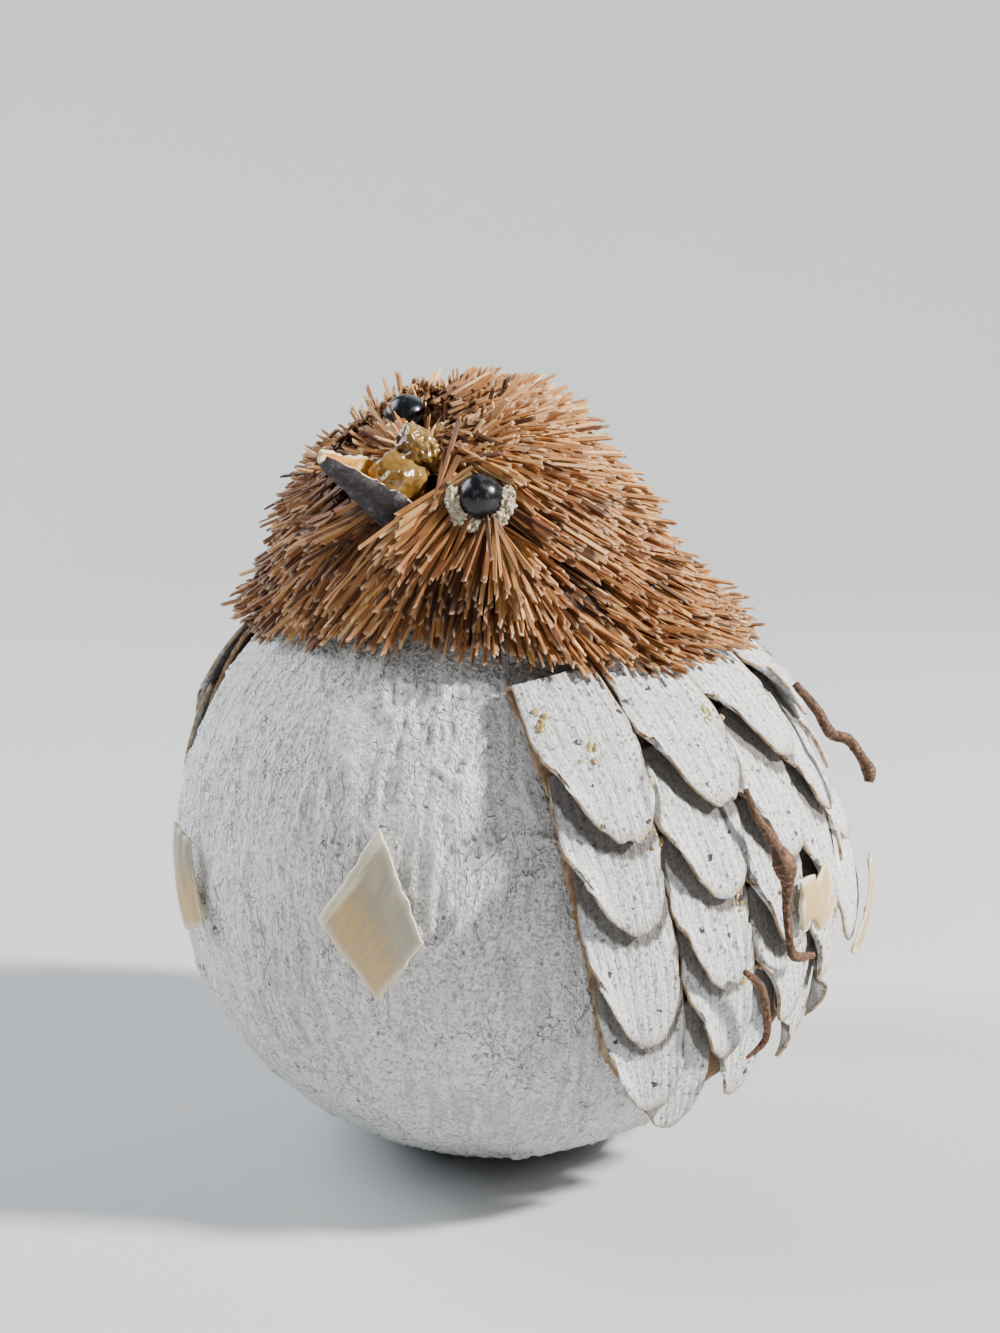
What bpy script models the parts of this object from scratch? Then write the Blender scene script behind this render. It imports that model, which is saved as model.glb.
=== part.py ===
"""A small bird ornament, made by hand from dry natural scraps.

A ball of glued white paper with a short blunt tail carries everything else: a
thatch of cut straw for the head, a dark half cone of bark for the beak, two black
beads for the eyes, and on each side a brown backing sheet with rows of chalky
bark scales.  A few dry petals and three thin twigs are glued on as trimmings.

Frame: metres, +Z up.  The bird looks along -Y and its left wing is on +X.  The
origin is the centre of the small flat spot under the ball that it stands on.
"""
from math import acos, asin, atan2, cos, pi, radians, sin, sqrt

import bmesh
import bpy
from mathutils import Matrix, Vector

# The ball and its flat spot
BALL_R = 0.044
BALL_CENTRE_Z = 0.042
CHEEK_SWELL = 0.0012
BACK_FLATTENING = 0.0048
BACK_ELEVATION = 32.0

# The tail is a blunt lump that grows out of the ball
TAIL_AZIMUTH = 175.0
TAIL_ELEVATION = -21.0
TAIL_CENTRE_OUT = 0.035
TAIL_HALF_LENGTH = 0.038
TAIL_HALF_WIDTH = 0.0198
TAIL_HALF_HEIGHT = 0.026
TAIL_BLEND = 0.009

# Glued faces keep this gap, and layers that only lie on each other a little more
SEAT_GAP = 0.0003
LAYER_GAP = 0.0004

# Wide faceted pieces sit a little higher, so that their flat facets clear the ball
SHEET_SEAT = 0.0006

# The wings: everything on them follows a globe whose pole leans to the front
WING_TILT = 13.0
BACKING_T = 0.0005
BACKING_TOP_LATITUDE = 47.0
BACKING_LOW_LATITUDE = -33.0
BACKING_REAR_AZIMUTH = 128.0
BACKING_FRONT_AZIMUTH = 53.3
BACKING_TOP_BEND = 25.0
BACKING_LOW_BEND = -9.5
BACKING_BEND_SPAN = 16.0
BACKING_TOP_FORWARD = 1.6
BACKING_LOW_BACK = 5.3
BACKING_LOW_POWER = 1.7
RIGHT_WING_BACK = 12.0
SCALE_T = 0.00045
SCALE_SIDE_GAP = 0.0006
SCALE_SLOPE = 0.084
SCALE_TIP_LIFT = 0.0006
SCALE_TIP_ROUND = 0.26
COLUMNS_EACH_SIDE = 4
BACK_TIP_LIFT = 0.0012
BACK_SIDE_GAP_ANGLE = 0.6
BACK_SCALLOP = 0.2

# Each row of scales: name, root latitude, tip latitude, first azimuth, azimuth step
SCALE_ROWS = (
    ("a", 46.5, 19.3, 62.4, 18.3),
    ("b", 31.5, 6.3, 60.9, 15.8),
    ("c", 18.5, -7.5, 60.6, 14.2),
    ("d", 5.0, -21.0, 61.0, 14.0),
    ("e", -8.5, -34.0, 66.0, 15.0),
)
FIRST_SCALE_DROP = 4.6

# The straw head is a hollow thatch that sits on the ball.  Its place is in ball
# radii from the ball's centre.
HEAD_R = 0.0240
HEAD_RISE = 0.0258
HEAD_PLACE = Vector((0.04545, -0.22727, 0.89773))
HEAD_CENTRE = Vector((0.0, 0.0, BALL_CENTRE_Z)) + BALL_R * HEAD_PLACE
FACE_HOLLOW = 0.0042
FACE_AZIMUTH = -4.0
FACE_ELEVATION = 44.0
SKIRT_LATITUDE = 43.5
SKIRT_FLANK_DROP = 3.6
SKIRT_NAPE_RISE = 10.0
SKIRT_NAPE_START = 105.0
SKIRT_NAPE_END = 170.0
SKIRT_TEETH = 1.5
SKIRT_T = 0.0014
SKIRT_FLARE_HEIGHT = 0.028
SKIRT_FLARE_POWER = 3.0
SKIRT_OVER_ROOTS = 6.0
SKIRT_TEETH_ROUND = 11.0
SKIRT_TEETH_SWAY = 7.0
COVER_LATITUDES = (64.0, 55.0)
COVER_AZIMUTHS = (40.0, 48.0)
THATCH_SECTORS = 42
THATCH_RINGS = 17
THATCH_OUTER_RINGS = 12
THATCH_RANKS = 3
RANK_STEP = 0.0010
LOCK_DEPTH = 0.0007

# Face pieces, and the core that the strips point away from.  Their places are in
# head radii from the head's centre.
EYE_R = 0.0029
HEAD_CORE = HEAD_CENTRE + HEAD_R * Vector((-0.04167, 0.08333, 0.35417))
EYE_LEFT = HEAD_CENTRE + HEAD_R * Vector((0.63750, -0.56667, 0.42500))
EYE_RIGHT = HEAD_CENTRE + HEAD_R * Vector((-0.15000, -0.26500, 0.78500))
BEAK_BASE = HEAD_CENTRE + HEAD_R * Vector((0.22083, -0.72083, 0.47917))
BEAK_AZIMUTH = -11.0
BEAK_ELEVATION = 20.0
BEAK_ROLL = -2.0
BEAK_LENGTH = 0.0112
BEAK_BASE_R = 0.0054
BEAK_TIP_R = 0.0007
BEAK_T = 0.0008
BEAK_ROOT = 0.0020
BEAK_HALF_TURN = 0.52 * pi
GLUE_R = 0.0040
SOCKET_GAP = 0.0004
BEAK_SOCKET_DEPTH = 0.0052

# Trimmings
PETAL_T = 0.00045
TWIG_R = 0.00075
TWIG_BUD_R = 0.0020

DEGREE = pi / 180.0
SLOPE_PROBE = 0.002


def direction(azimuth, elevation):
    """Unit vector: azimuth from the bird's front towards its left side, in degrees."""
    flat = cos(radians(elevation))
    return Vector((
        sin(radians(azimuth)) * flat,
        -cos(radians(azimuth)) * flat,
        sin(radians(elevation)),
    ))


def wing_direction(azimuth, latitude):
    """The same on the wings' globe, whose pole leans towards the front."""
    return Matrix.Rotation(radians(WING_TILT), 3, "X") @ direction(azimuth, latitude)


def smoothstep(low, high, value):
    """Rise softly from 0 at low to 1 at high; low may be the larger number."""
    share = min(max((value - low) / (high - low), 0.0), 1.0)
    return share * share * (3.0 - 2.0 * share)


BALL_CENTRE = Vector((0.0, 0.0, BALL_CENTRE_Z))
TAIL_AXIS = direction(TAIL_AZIMUTH, TAIL_ELEVATION)
TAIL_SIDE = direction(TAIL_AZIMUTH + 90.0, 0.0)
TAIL_UP = TAIL_AXIS.cross(TAIL_SIDE)
CHEEK_AXIS = direction(-45.0, -22.0)
BACK_AXIS = direction(180.0, BACK_ELEVATION)


def body_radius(way):
    """Distance from the ball's centre to the paper skin along a unit vector."""
    cheek = max(way.dot(CHEEK_AXIS), 0.0)
    back = max(way.dot(BACK_AXIS), 0.0)
    ball = BALL_R + CHEEK_SWELL * cheek ** 4 - BACK_FLATTENING * back ** 2
    along = way.dot(TAIL_AXIS) / TAIL_HALF_LENGTH
    across = way.dot(TAIL_SIDE) / TAIL_HALF_WIDTH
    upward = way.dot(TAIL_UP) / TAIL_HALF_HEIGHT
    start = TAIL_CENTRE_OUT / TAIL_HALF_LENGTH
    steep = along * along + across * across + upward * upward
    under_root = (along * start) ** 2 - steep * (start * start - 1.0)
    if under_root <= 0.0 or along <= 0.0:
        return ball
    tail = (along * start + sqrt(under_root)) / steep
    share = min(max(0.5 + 0.5 * (tail - ball) / TAIL_BLEND, 0.0), 1.0)
    return tail * share + ball * (1.0 - share) + TAIL_BLEND * share * (1.0 - share)


def on_body(way, height):
    """Point at a height over the paper skin, measured square to the skin."""
    skin = way * body_radius(way)
    if height == 0.0:
        return BALL_CENTRE + skin
    reference = Vector((0.0, 1.0, 0.0)) if abs(way.z) > 0.9 else Vector((0.0, 0.0, 1.0))
    east = way.cross(reference).normalized() * SLOPE_PROBE
    north = east.cross(way)
    beside = (way + east).normalized()
    above = (way + north).normalized()
    normal = (beside * body_radius(beside) - skin).cross(above * body_radius(above) - skin)
    normal *= 1.0 if normal.dot(way) > 0.0 else -1.0
    return BALL_CENTRE + skin + normal.normalized() * height


def make_material(name, colour, roughness):
    """Principled finish with one colour, as a first coat."""
    material = bpy.data.materials.new(name)
    material.use_nodes = True
    shader = material.node_tree.nodes["Principled BSDF"]
    shader.inputs["Base Color"].default_value = (*colour, 1.0)
    shader.inputs["Roughness"].default_value = roughness
    shader.inputs["Metallic"].default_value = 0.0
    return material


def new_collection(name):
    """Collection linked to the scene."""
    collection = bpy.data.collections.new(name)
    bpy.context.scene.collection.children.link(collection)
    return collection


def place(bm, name, material, collection):
    """Turn a finished bmesh into a named, smooth shaded object."""
    mesh = bpy.data.meshes.new(name)
    bm.to_mesh(mesh)
    bm.free()
    mesh.shade_smooth()
    mesh.materials.append(material)
    obj = bpy.data.objects.new(name, mesh)
    collection.objects.link(obj)
    return obj


def make_cutter(bm, name, collection):
    """Helper solid that only cuts others."""
    mesh = bpy.data.meshes.new(name)
    bm.to_mesh(mesh)
    bm.free()
    obj = bpy.data.objects.new(name, mesh)
    obj.hide_render = True
    obj.display_type = "WIRE"
    collection.objects.link(obj)
    return obj


def cut(target, cutter):
    """Take the cutter's shape out of the target."""
    boolean = target.modifiers.new("cut " + cutter.name, "BOOLEAN")
    boolean.operation = "DIFFERENCE"
    boolean.solver = "EXACT"
    boolean.object = cutter


def sheet(name, columns, rows, point, thickness, material, collection, inside_out=False):
    """Thin curved sheet.  point(across, along) maps across -1..1 and along 0..1."""
    bm = bmesh.new()
    bmesh.ops.create_grid(bm, x_segments=columns, y_segments=rows, size=1.0)
    for vert in bm.verts:
        vert.co = point(vert.co.x, (1.0 - vert.co.y) / 2.0)
    if inside_out:
        bmesh.ops.reverse_faces(bm, faces=bm.faces[:])
    obj = place(bm, name, material, collection)
    solidify = obj.modifiers.new("thickness", "SOLIDIFY")
    solidify.thickness = thickness
    solidify.offset = 1.0
    return obj


def build_body(material, collection):
    """Paper ball with its tail: a sphere whose rings crowd together at the tail."""
    bm = bmesh.new()
    bmesh.ops.create_uvsphere(bm, u_segments=30, v_segments=22, radius=1.0)
    turn = TAIL_AXIS.to_track_quat("Z", "Y")
    ring_crowding = 1.4
    for vert in bm.verts:
        polar = acos(min(max(vert.co.z, -1.0), 1.0))
        turned = atan2(vert.co.y, vert.co.x)
        polar = pi * (polar / pi) ** ring_crowding
        way = Vector((sin(polar) * cos(turned), sin(polar) * sin(turned), cos(polar)))
        vert.co = on_body(turn @ way, 0.0)
    halves = bmesh.ops.bisect_plane(
        bm, geom=bm.verts[:] + bm.edges[:] + bm.faces[:],
        plane_co=(0.0, 0.0, 0.0), plane_no=(0.0, 0.0, 1.0), clear_inner=True)
    rim = [part for part in halves["geom_cut"] if isinstance(part, bmesh.types.BMEdge)]
    bmesh.ops.contextual_create(bm, geom=rim)
    bmesh.ops.recalc_face_normals(bm, faces=bm.faces[:])
    place(bm, "body", material, collection)


def backing_front(latitude):
    """Azimuth of the backing sheet's torn front edge, which bends at both ends."""
    top = max(0.0, latitude - BACKING_TOP_BEND) / BACKING_BEND_SPAN
    low = max(0.0, BACKING_LOW_BEND - latitude) / BACKING_BEND_SPAN
    forward = BACKING_TOP_FORWARD * top ** 2
    return BACKING_FRONT_AZIMUTH - forward + BACKING_LOW_BACK * low ** BACKING_LOW_POWER


def build_backing(side_name, side, material, collection):
    """Brown sheet under one wing's scales."""
    set_back = RIGHT_WING_BACK if side < 0 else 0.0

    def point(across, along):
        span = BACKING_TOP_LATITUDE - BACKING_LOW_LATITUDE
        latitude = BACKING_TOP_LATITUDE - along * span
        front = backing_front(latitude) + set_back
        azimuth = front + (across + 1.0) / 2.0 * (BACKING_REAR_AZIMUTH - front)
        return on_body(wing_direction(side * azimuth, latitude), SHEET_SEAT)

    name = "wing_backing_" + side_name
    sheet(name, 7, 8, point, BACKING_T, material, collection, inside_out=side < 0)


def clear_of_scales():
    """Height over the skin that clears every scale's tip."""
    longest = max(root - tip for _, root, tip, _, _ in SCALE_ROWS)
    arc = (longest + FIRST_SCALE_DROP) * DEGREE * BALL_R
    return scale_height(arc) + SCALE_TIP_LIFT + SCALE_T + LAYER_GAP


def scale_height(arc):
    """Height of a scale's underside over the skin, at an arc length from its root."""
    return SHEET_SEAT + BACKING_T + SEAT_GAP + SCALE_SLOPE * arc


def tongue_width(along):
    """Half width of a tongue shaped scale, as a share of its widest place."""
    shoulder = smoothstep(-1.2, 0.4, along)
    taper = 1.0 - 0.36 * smoothstep(0.62, 1.0, along)
    return shoulder * taper


def scale_place(azimuth, root, tip, across, along, half_angle):
    """Point on a tongue's underside, in the wing's globe angles and arc length."""
    reach = along - SCALE_TIP_ROUND * across * across * along ** 3
    latitude = root + (tip - root) * reach
    sideways = across * tongue_width(along) * half_angle
    arc = (root - latitude) * DEGREE * BALL_R
    lift = SCALE_TIP_LIFT * smoothstep(0.6, 1.0, along)
    return azimuth + sideways, latitude, scale_height(arc) + lift


def build_scale(name, side, azimuth, step, root, tip, material, collection):
    """One tongue of chalky bark, root up and tip standing proud."""
    widest = BALL_R * cos(radians((root + tip) / 2.0))
    half_angle = (step - SCALE_SIDE_GAP / widest / DEGREE) / 2.0

    def point(across, along):
        place_azimuth, latitude, height = scale_place(
            azimuth, root, tip, across, along, half_angle)
        return on_body(wing_direction(side * place_azimuth, latitude), height)

    sheet(name, 4, 3, point, SCALE_T, material, collection, inside_out=side < 0)


def build_wing(side_name, side, material, collection):
    """Rows of separate scales on one side; the right wing starts further back."""
    for row, root, tip, first, step in SCALE_ROWS:
        if side < 0:
            narrower = RIGHT_WING_BACK / COLUMNS_EACH_SIDE
            first += RIGHT_WING_BACK - narrower / 2.0
            step -= narrower
        for column in range(COLUMNS_EACH_SIDE):
            drop = FIRST_SCALE_DROP if column == 0 and row in "cd" else 0.0
            name = "scale_%s_%s%d" % (side_name, row, column + 1)
            azimuth = first + step * column
            build_scale(
                name, side, azimuth, step, root, tip - drop, material, collection)


def build_back_band(row, root, tip, first, step, material, collection):
    """Scales across the back and over the tail, one sheet with a scalloped edge."""
    last = first + step * (COLUMNS_EACH_SIDE - 0.5)
    half_angle = 180.0 - last - BACK_SIDE_GAP_ANGLE
    tongues = max(2, round(2.0 * half_angle / step))

    def point(across, along):
        scallop = abs(sin(pi * tongues * (across + 1.0) / 2.0)) ** 0.6
        reach = along * (1.0 - BACK_SCALLOP * (1.0 - scallop) * along ** 2)
        latitude = root + (tip - root) * reach
        arc = (root - latitude) * DEGREE * BALL_R
        azimuth = 180.0 + across * half_angle
        lift = BACK_TIP_LIFT * smoothstep(0.6, 1.0, along)
        return on_body(wing_direction(azimuth, latitude), scale_height(arc) + lift)

    name = "scales_back_" + row
    rows = 3 if root > 10.0 else 4
    sheet(name, 3 * tongues, rows, point, SCALE_T, material, collection)


def skirt_latitude(azimuth):
    """Lower edge of the thatch: low over the flanks, higher at the nape."""
    flank = sin(radians(azimuth)) ** 4
    nape = smoothstep(SKIRT_NAPE_START, SKIRT_NAPE_END, abs(azimuth))
    teeth = SKIRT_TEETH * sin(azimuth * DEGREE * SKIRT_TEETH_ROUND)
    teeth *= cos(azimuth * DEGREE * SKIRT_TEETH_SWAY)
    return SKIRT_LATITUDE - SKIRT_FLANK_DROP * flank + SKIRT_NAPE_RISE * nape + teeth


def thatch_underside(way):
    """Height of the thatch's underside: it sits on bare paper and on the top scales."""
    leaned = Matrix.Rotation(-radians(WING_TILT), 3, "X") @ way
    latitude = asin(leaned.z) / DEGREE
    azimuth = abs(atan2(leaned.x, -leaned.y)) / DEGREE
    top_root = SCALE_ROWS[0][1]
    past_root = max(top_root - latitude, 0.0) + SKIRT_OVER_ROOTS
    over_wing = scale_height(past_root * DEGREE * BALL_R) + SCALE_T + LAYER_GAP
    cover = smoothstep(*COVER_LATITUDES, latitude) * smoothstep(*COVER_AZIMUTHS, azimuth)
    return SHEET_SEAT + (over_wing - SHEET_SEAT) * cover


def skirt_edge(azimuth):
    """Outer corner of the thatch's lower edge."""
    way = direction(azimuth, skirt_latitude(azimuth))
    return on_body(way, thatch_underside(way) + SKIRT_T)


def inside_thatch(spot):
    """Whether a point lies within the plain outline: a round crown over a wide skirt."""
    rise = max(spot.z - HEAD_CENTRE.z, 0.0)
    if rise >= HEAD_RISE:
        return False
    edge = skirt_edge(atan2(spot.x, -spot.y) / DEGREE)
    low = min(max(1.0 - (spot.z - edge.z) / SKIRT_FLARE_HEIGHT, 0.0), 1.0)
    low **= SKIRT_FLARE_POWER
    crown = HEAD_R * sqrt(1.0 - (rise / HEAD_RISE) ** 2)
    half_width = crown * (1.0 - low) + edge.xy.length * low
    from_axis = spot.xy - HEAD_CENTRE.xy * (1.0 - low)
    return from_axis.length < half_width


def head_radius(way):
    """Distance from the thatch's core to its plain outline along a unit vector."""
    near, far = 0.0, 2.5 * HEAD_R
    for _ in range(30):
        middle = (near + far) / 2.0
        if inside_thatch(HEAD_CORE + way * middle):
            near = middle
        else:
            far = middle
    face = way.dot(direction(FACE_AZIMUTH, FACE_ELEVATION))
    return near - FACE_HOLLOW * smoothstep(0.6, 0.95, face)


def thatch_outer(azimuth, share):
    """Point on the outer face, from the face whorl (0) to the skirt's edge (1)."""
    to_edge = skirt_edge(azimuth) - HEAD_CORE
    whorl = direction(FACE_AZIMUTH, FACE_ELEVATION)
    way = whorl.slerp(to_edge.normalized(), share)
    radius = head_radius(way)
    rank = (share * THATCH_RANKS) % 1.0
    lock = cos(azimuth * DEGREE * THATCH_SECTORS / 2.0)
    wave = 0.6 + 0.4 * sin(azimuth * DEGREE * 5.0)
    ranked = smoothstep(0.1, 0.4, share) * smoothstep(1.02, 0.97, share)
    radius += ranked * RANK_STEP * (rank - 0.5)
    radius += smoothstep(0.1, 0.5, share) * LOCK_DEPTH * lock * wave
    return HEAD_CORE + way * radius


def thatch_inner(azimuth, share):
    """Point on the hollow underside, from the skirt's edge (0) to its middle (1)."""
    skirt_way = direction(azimuth, skirt_latitude(azimuth))
    way = skirt_way.slerp(Vector((0.0, 0.0, 1.0)), share)
    return on_body(way, thatch_underside(way))


def build_head(material, collection, cutters):
    """Thatch of straw: a sphere whose lower rings are folded in as its underside."""
    bm = bmesh.new()
    bmesh.ops.create_uvsphere(
        bm, u_segments=THATCH_SECTORS, v_segments=THATCH_RINGS, radius=1.0)
    for vert in bm.verts:
        ring = round(acos(min(max(vert.co.z, -1.0), 1.0)) / pi * THATCH_RINGS)
        azimuth = atan2(vert.co.x, -vert.co.y) / DEGREE
        if ring <= THATCH_OUTER_RINGS:
            vert.co = thatch_outer(azimuth, ring / THATCH_OUTER_RINGS)
        else:
            steps = THATCH_RINGS - THATCH_OUTER_RINGS - 1
            vert.co = thatch_inner(azimuth, (ring - THATCH_OUTER_RINGS - 1) / steps)
    bmesh.ops.recalc_face_normals(bm, faces=bm.faces[:])
    head = place(bm, "straw_head", material, collection)
    for cutter in cutters:
        cut(head, cutter)


def build_eyes(material, collection):
    """Two black beads."""
    for name, centre in (("eye_left", EYE_LEFT), ("eye_right", EYE_RIGHT)):
        bm = bmesh.new()
        bmesh.ops.create_uvsphere(bm, u_segments=12, v_segments=8, radius=EYE_R)
        bmesh.ops.translate(bm, verts=bm.verts[:], vec=centre)
        place(bm, name, material, collection)


def eye_cutters(collection):
    """Sockets for the beads."""
    sockets = []
    for name, centre in (("cut_eye_left", EYE_LEFT), ("cut_eye_right", EYE_RIGHT)):
        bm = bmesh.new()
        bmesh.ops.create_uvsphere(
            bm, u_segments=12, v_segments=8, radius=EYE_R + SOCKET_GAP)
        bmesh.ops.translate(bm, verts=bm.verts[:], vec=centre)
        sockets.append(make_cutter(bm, name, collection))
    return sockets


def beak_frame():
    """Matrix with the beak's axis as its Z and the open side of the cone as its Y."""
    axis = direction(BEAK_AZIMUTH, BEAK_ELEVATION)
    left = Vector((0.0, 0.0, 1.0)).cross(axis).normalized()
    rotation = Matrix((left, axis.cross(left), axis)).transposed()
    roll = Matrix.Rotation(radians(BEAK_ROLL), 3, "Z")
    return Matrix.Translation(BEAK_BASE) @ (rotation @ roll).to_4x4()


def beak_outer_radius(along):
    """Radius of the cone at a distance along the axis, base at 0."""
    share = min(max(along / BEAK_LENGTH, 0.0), 1.0)
    return BEAK_TIP_R + (BEAK_BASE_R - BEAK_TIP_R) * (1.0 - share) ** 0.8


def build_beak(material, collection):
    """Half a cone of bark, open at the top, with its root in the thatch."""
    frame = beak_frame()

    def point(across, along):
        distance = BEAK_LENGTH - along * (BEAK_LENGTH + BEAK_ROOT)
        radius = beak_outer_radius(distance) - BEAK_T * min(1.0, 0.3 + along * 2.0)
        turned = -pi / 2.0 + across * BEAK_HALF_TURN
        local = Vector((radius * cos(turned), radius * sin(turned), distance))
        return frame @ local

    sheet("beak_shell", 8, 4, point, BEAK_T, material, collection)


def build_glue(material, collection):
    """Drop of hot glue that holds the beak, inside the open cone."""
    bm = bmesh.new()
    bmesh.ops.create_icosphere(bm, subdivisions=2, radius=GLUE_R)
    bmesh.ops.transform(bm, matrix=beak_frame(), verts=bm.verts[:])
    place(bm, "beak_glue", material, collection)


def beak_cutter(collection):
    """Round pocket in the thatch for the beak's root and its glue."""
    radius = BEAK_BASE_R + SOCKET_GAP + BEAK_T / 2.0
    length = BEAK_SOCKET_DEPTH + BEAK_LENGTH
    bm = bmesh.new()
    bmesh.ops.create_cone(
        bm, cap_ends=True, segments=20, radius1=radius, radius2=radius, depth=length)
    middle = (BEAK_LENGTH - BEAK_SOCKET_DEPTH) / 2.0
    bmesh.ops.translate(bm, verts=bm.verts[:], vec=(0.0, 0.0, middle))
    bmesh.ops.transform(bm, matrix=beak_frame(), verts=bm.verts[:])
    return make_cutter(bm, "cut_beak", collection)


def build_petal(name, corners, heights, material, collection, inside_out=False):
    """Dry petal: a four cornered flake.  Corners are (azimuth, elevation) places."""
    def point(across, along):
        side = (across + 1.0) / 2.0
        weights = (
            (1.0 - side) * (1.0 - along),
            side * (1.0 - along),
            side * along,
            (1.0 - side) * along,
        )
        azimuth = sum(w * corner[0] for w, corner in zip(weights, corners))
        elevation = sum(w * corner[1] for w, corner in zip(weights, corners))
        height = sum(w * height for w, height in zip(weights, heights))
        return on_body(direction(azimuth, elevation), height)

    sheet(name, 3, 4, point, PETAL_T, material, collection, inside_out=inside_out)


def build_petals(material, collection):
    """Breast petal, side petal, flank petal on the scales and a curl at the tail."""
    foot = clear_of_scales()
    build_petal(
        "petal_breast", ((22.0, 15.4), (29.4, -1.6), (21.6, -12.1), (12.6, 0.5)),
        (0.0005, 0.0005, 0.0006, 0.0009), material, collection)
    build_petal(
        "petal_side", ((-24.4, 8.6), (-19.5, 6.5), (-15.6, -6.5), (-21.8, -8.6)),
        (0.0020, 0.0008, 0.0006, 0.0012), material, collection)
    build_petal(
        "petal_flank", ((88.8, 3.6), (98.0, 3.0), (98.5, -4.8), (89.6, -4.2)),
        (foot,) * 4, material, collection)
    build_petal(
        "petal_tail", ((168.0, -13.0), (164.0, -12.0), (160.5, -22.5), (164.0, -23.5)),
        (foot + 0.0010, foot + 0.0004, foot - 0.0004, foot + 0.0002),
        material, collection, inside_out=True)


def build_twig(name, points, radii, material, collection):
    """Dry twig: a thin round rod through a few bends, thicker at its bud."""
    curve = bpy.data.curves.new(name + "_path", "CURVE")
    curve.dimensions = "3D"
    curve.bevel_depth = TWIG_R
    curve.bevel_resolution = 1
    curve.use_fill_caps = True
    spline = curve.splines.new("POLY")
    spline.points.add(len(points) - 1)
    for spot, place_point, radius in zip(spline.points, points, radii):
        spot.co = (*place_point, 1.0)
        spot.radius = radius / TWIG_R
    rod = bpy.data.objects.new(name + "_path", curve)
    collection.objects.link(rod)
    evaluated = rod.evaluated_get(bpy.context.evaluated_depsgraph_get())
    bm = bmesh.new()
    bm.from_mesh(bpy.data.meshes.new_from_object(evaluated))
    bmesh.ops.remove_doubles(bm, verts=bm.verts[:], dist=0.00001)
    bmesh.ops.recalc_face_normals(bm, faces=bm.faces[:])
    bpy.data.objects.remove(rod)
    bpy.data.curves.remove(curve)
    place(bm, name, material, collection)


def twig_path(places):
    """World points of a twig from (azimuth, elevation, lift over its resting height)."""
    rest = clear_of_scales() + TWIG_R
    return [on_body(direction(azimuth, elevation), rest + lift)
            for azimuth, elevation, lift in places]


def build_twigs(material, collection):
    """Twig over the back, budded twig on the wing, and a short low one."""
    back = twig_path((
        (104.5, 30.4, 0.0), (106.4, 25.4, 0.0006), (106.7, 21.5, 0.0010),
        (107.7, 19.7, 0.0026), (108.0, 17.1, 0.0034), (108.1, 14.5, 0.0039),
        (107.8, 13.1, 0.0036),
    ))
    build_twig("twig_back", back, [TWIG_R] * 5 + [TWIG_R * 1.3] * 2, material, collection)
    wing = twig_path((
        (79.4, 18.3, 0.0), (80.5, 14.6, 0.0), (82.6, 10.6, 0.0004), (84.0, 6.9, 0.0009),
        (84.8, 3.6, 0.0006), (85.4, 0.6, 0.0), (86.6, -4.6, 0.0), (88.4, -7.4, 0.0),
        (93.6, -8.6, 0.0),
    ))
    bud = [TWIG_R, TWIG_R, TWIG_R * 1.4, TWIG_BUD_R * 0.8, TWIG_R * 1.5]
    build_twig("twig_wing", wing, bud + [TWIG_R] * 4, material, collection)
    low = twig_path((
        (77.7, -7.3, 0.0), (81.4, -10.5, 0.0), (84.0, -15.6, 0.0002),
        (85.2, -20.0, 0.0004), (82.4, -22.6, 0.0002),
    ))
    build_twig("twig_low", low, [TWIG_R * 0.8] * 5, material, collection)


def main():
    """Clear the scene and build the bird."""
    for old in list(bpy.data.objects):
        bpy.data.objects.remove(old, do_unlink=True)
    bird = new_collection("bird_figurine")
    helpers = new_collection("cutters")

    paper = make_material("white_paper", (0.80, 0.79, 0.76), 0.85)
    straw = make_material("cut_straw", (0.47, 0.28, 0.16), 0.70)
    chalk = make_material("chalky_bark", (0.70, 0.71, 0.72), 0.90)
    fibre = make_material("brown_backing", (0.36, 0.24, 0.15), 0.95)
    shell = make_material("dark_bark", (0.09, 0.07, 0.08), 0.75)
    bead = make_material("black_bead", (0.02, 0.02, 0.025), 0.30)
    amber = make_material("amber_glue", (0.60, 0.36, 0.08), 0.25)
    petal = make_material("dry_petal", (0.80, 0.70, 0.42), 0.55)
    wood = make_material("twig_wood", (0.26, 0.13, 0.07), 0.80)

    build_body(paper, bird)
    for side_name, side in (("left", 1.0), ("right", -1.0)):
        build_backing(side_name, side, fibre, bird)
        build_wing(side_name, side, chalk, bird)
    for row, root, tip, first, step in SCALE_ROWS:
        build_back_band(row, root, tip, first, step, chalk, bird)
    sockets = eye_cutters(helpers) + [beak_cutter(helpers)]
    build_head(straw, bird, sockets)
    build_eyes(bead, bird)
    build_beak(shell, bird)
    build_glue(amber, bird)
    build_petals(petal, bird)
    build_twigs(wood, bird)


main()
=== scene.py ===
# %% [markdown]
# # A small bird of paper, straw and bark
# This lesson dresses a hand made bird ornament.  A ball of pasted paper carries a
# thatch of cut straw for a head, a half cone of dark bark for a beak, two beads,
# and wings of chalky bark scales.  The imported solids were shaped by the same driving
# sizes that stand here; each step below swaps some of them for finely modelled
# pieces and gives those a finish.

# %% Load the frame and keep its box
import random
from math import atan2, asin, cos, pi, radians, sin, sqrt

import bmesh
import bpy
from mathutils import Matrix, Vector, noise


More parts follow.
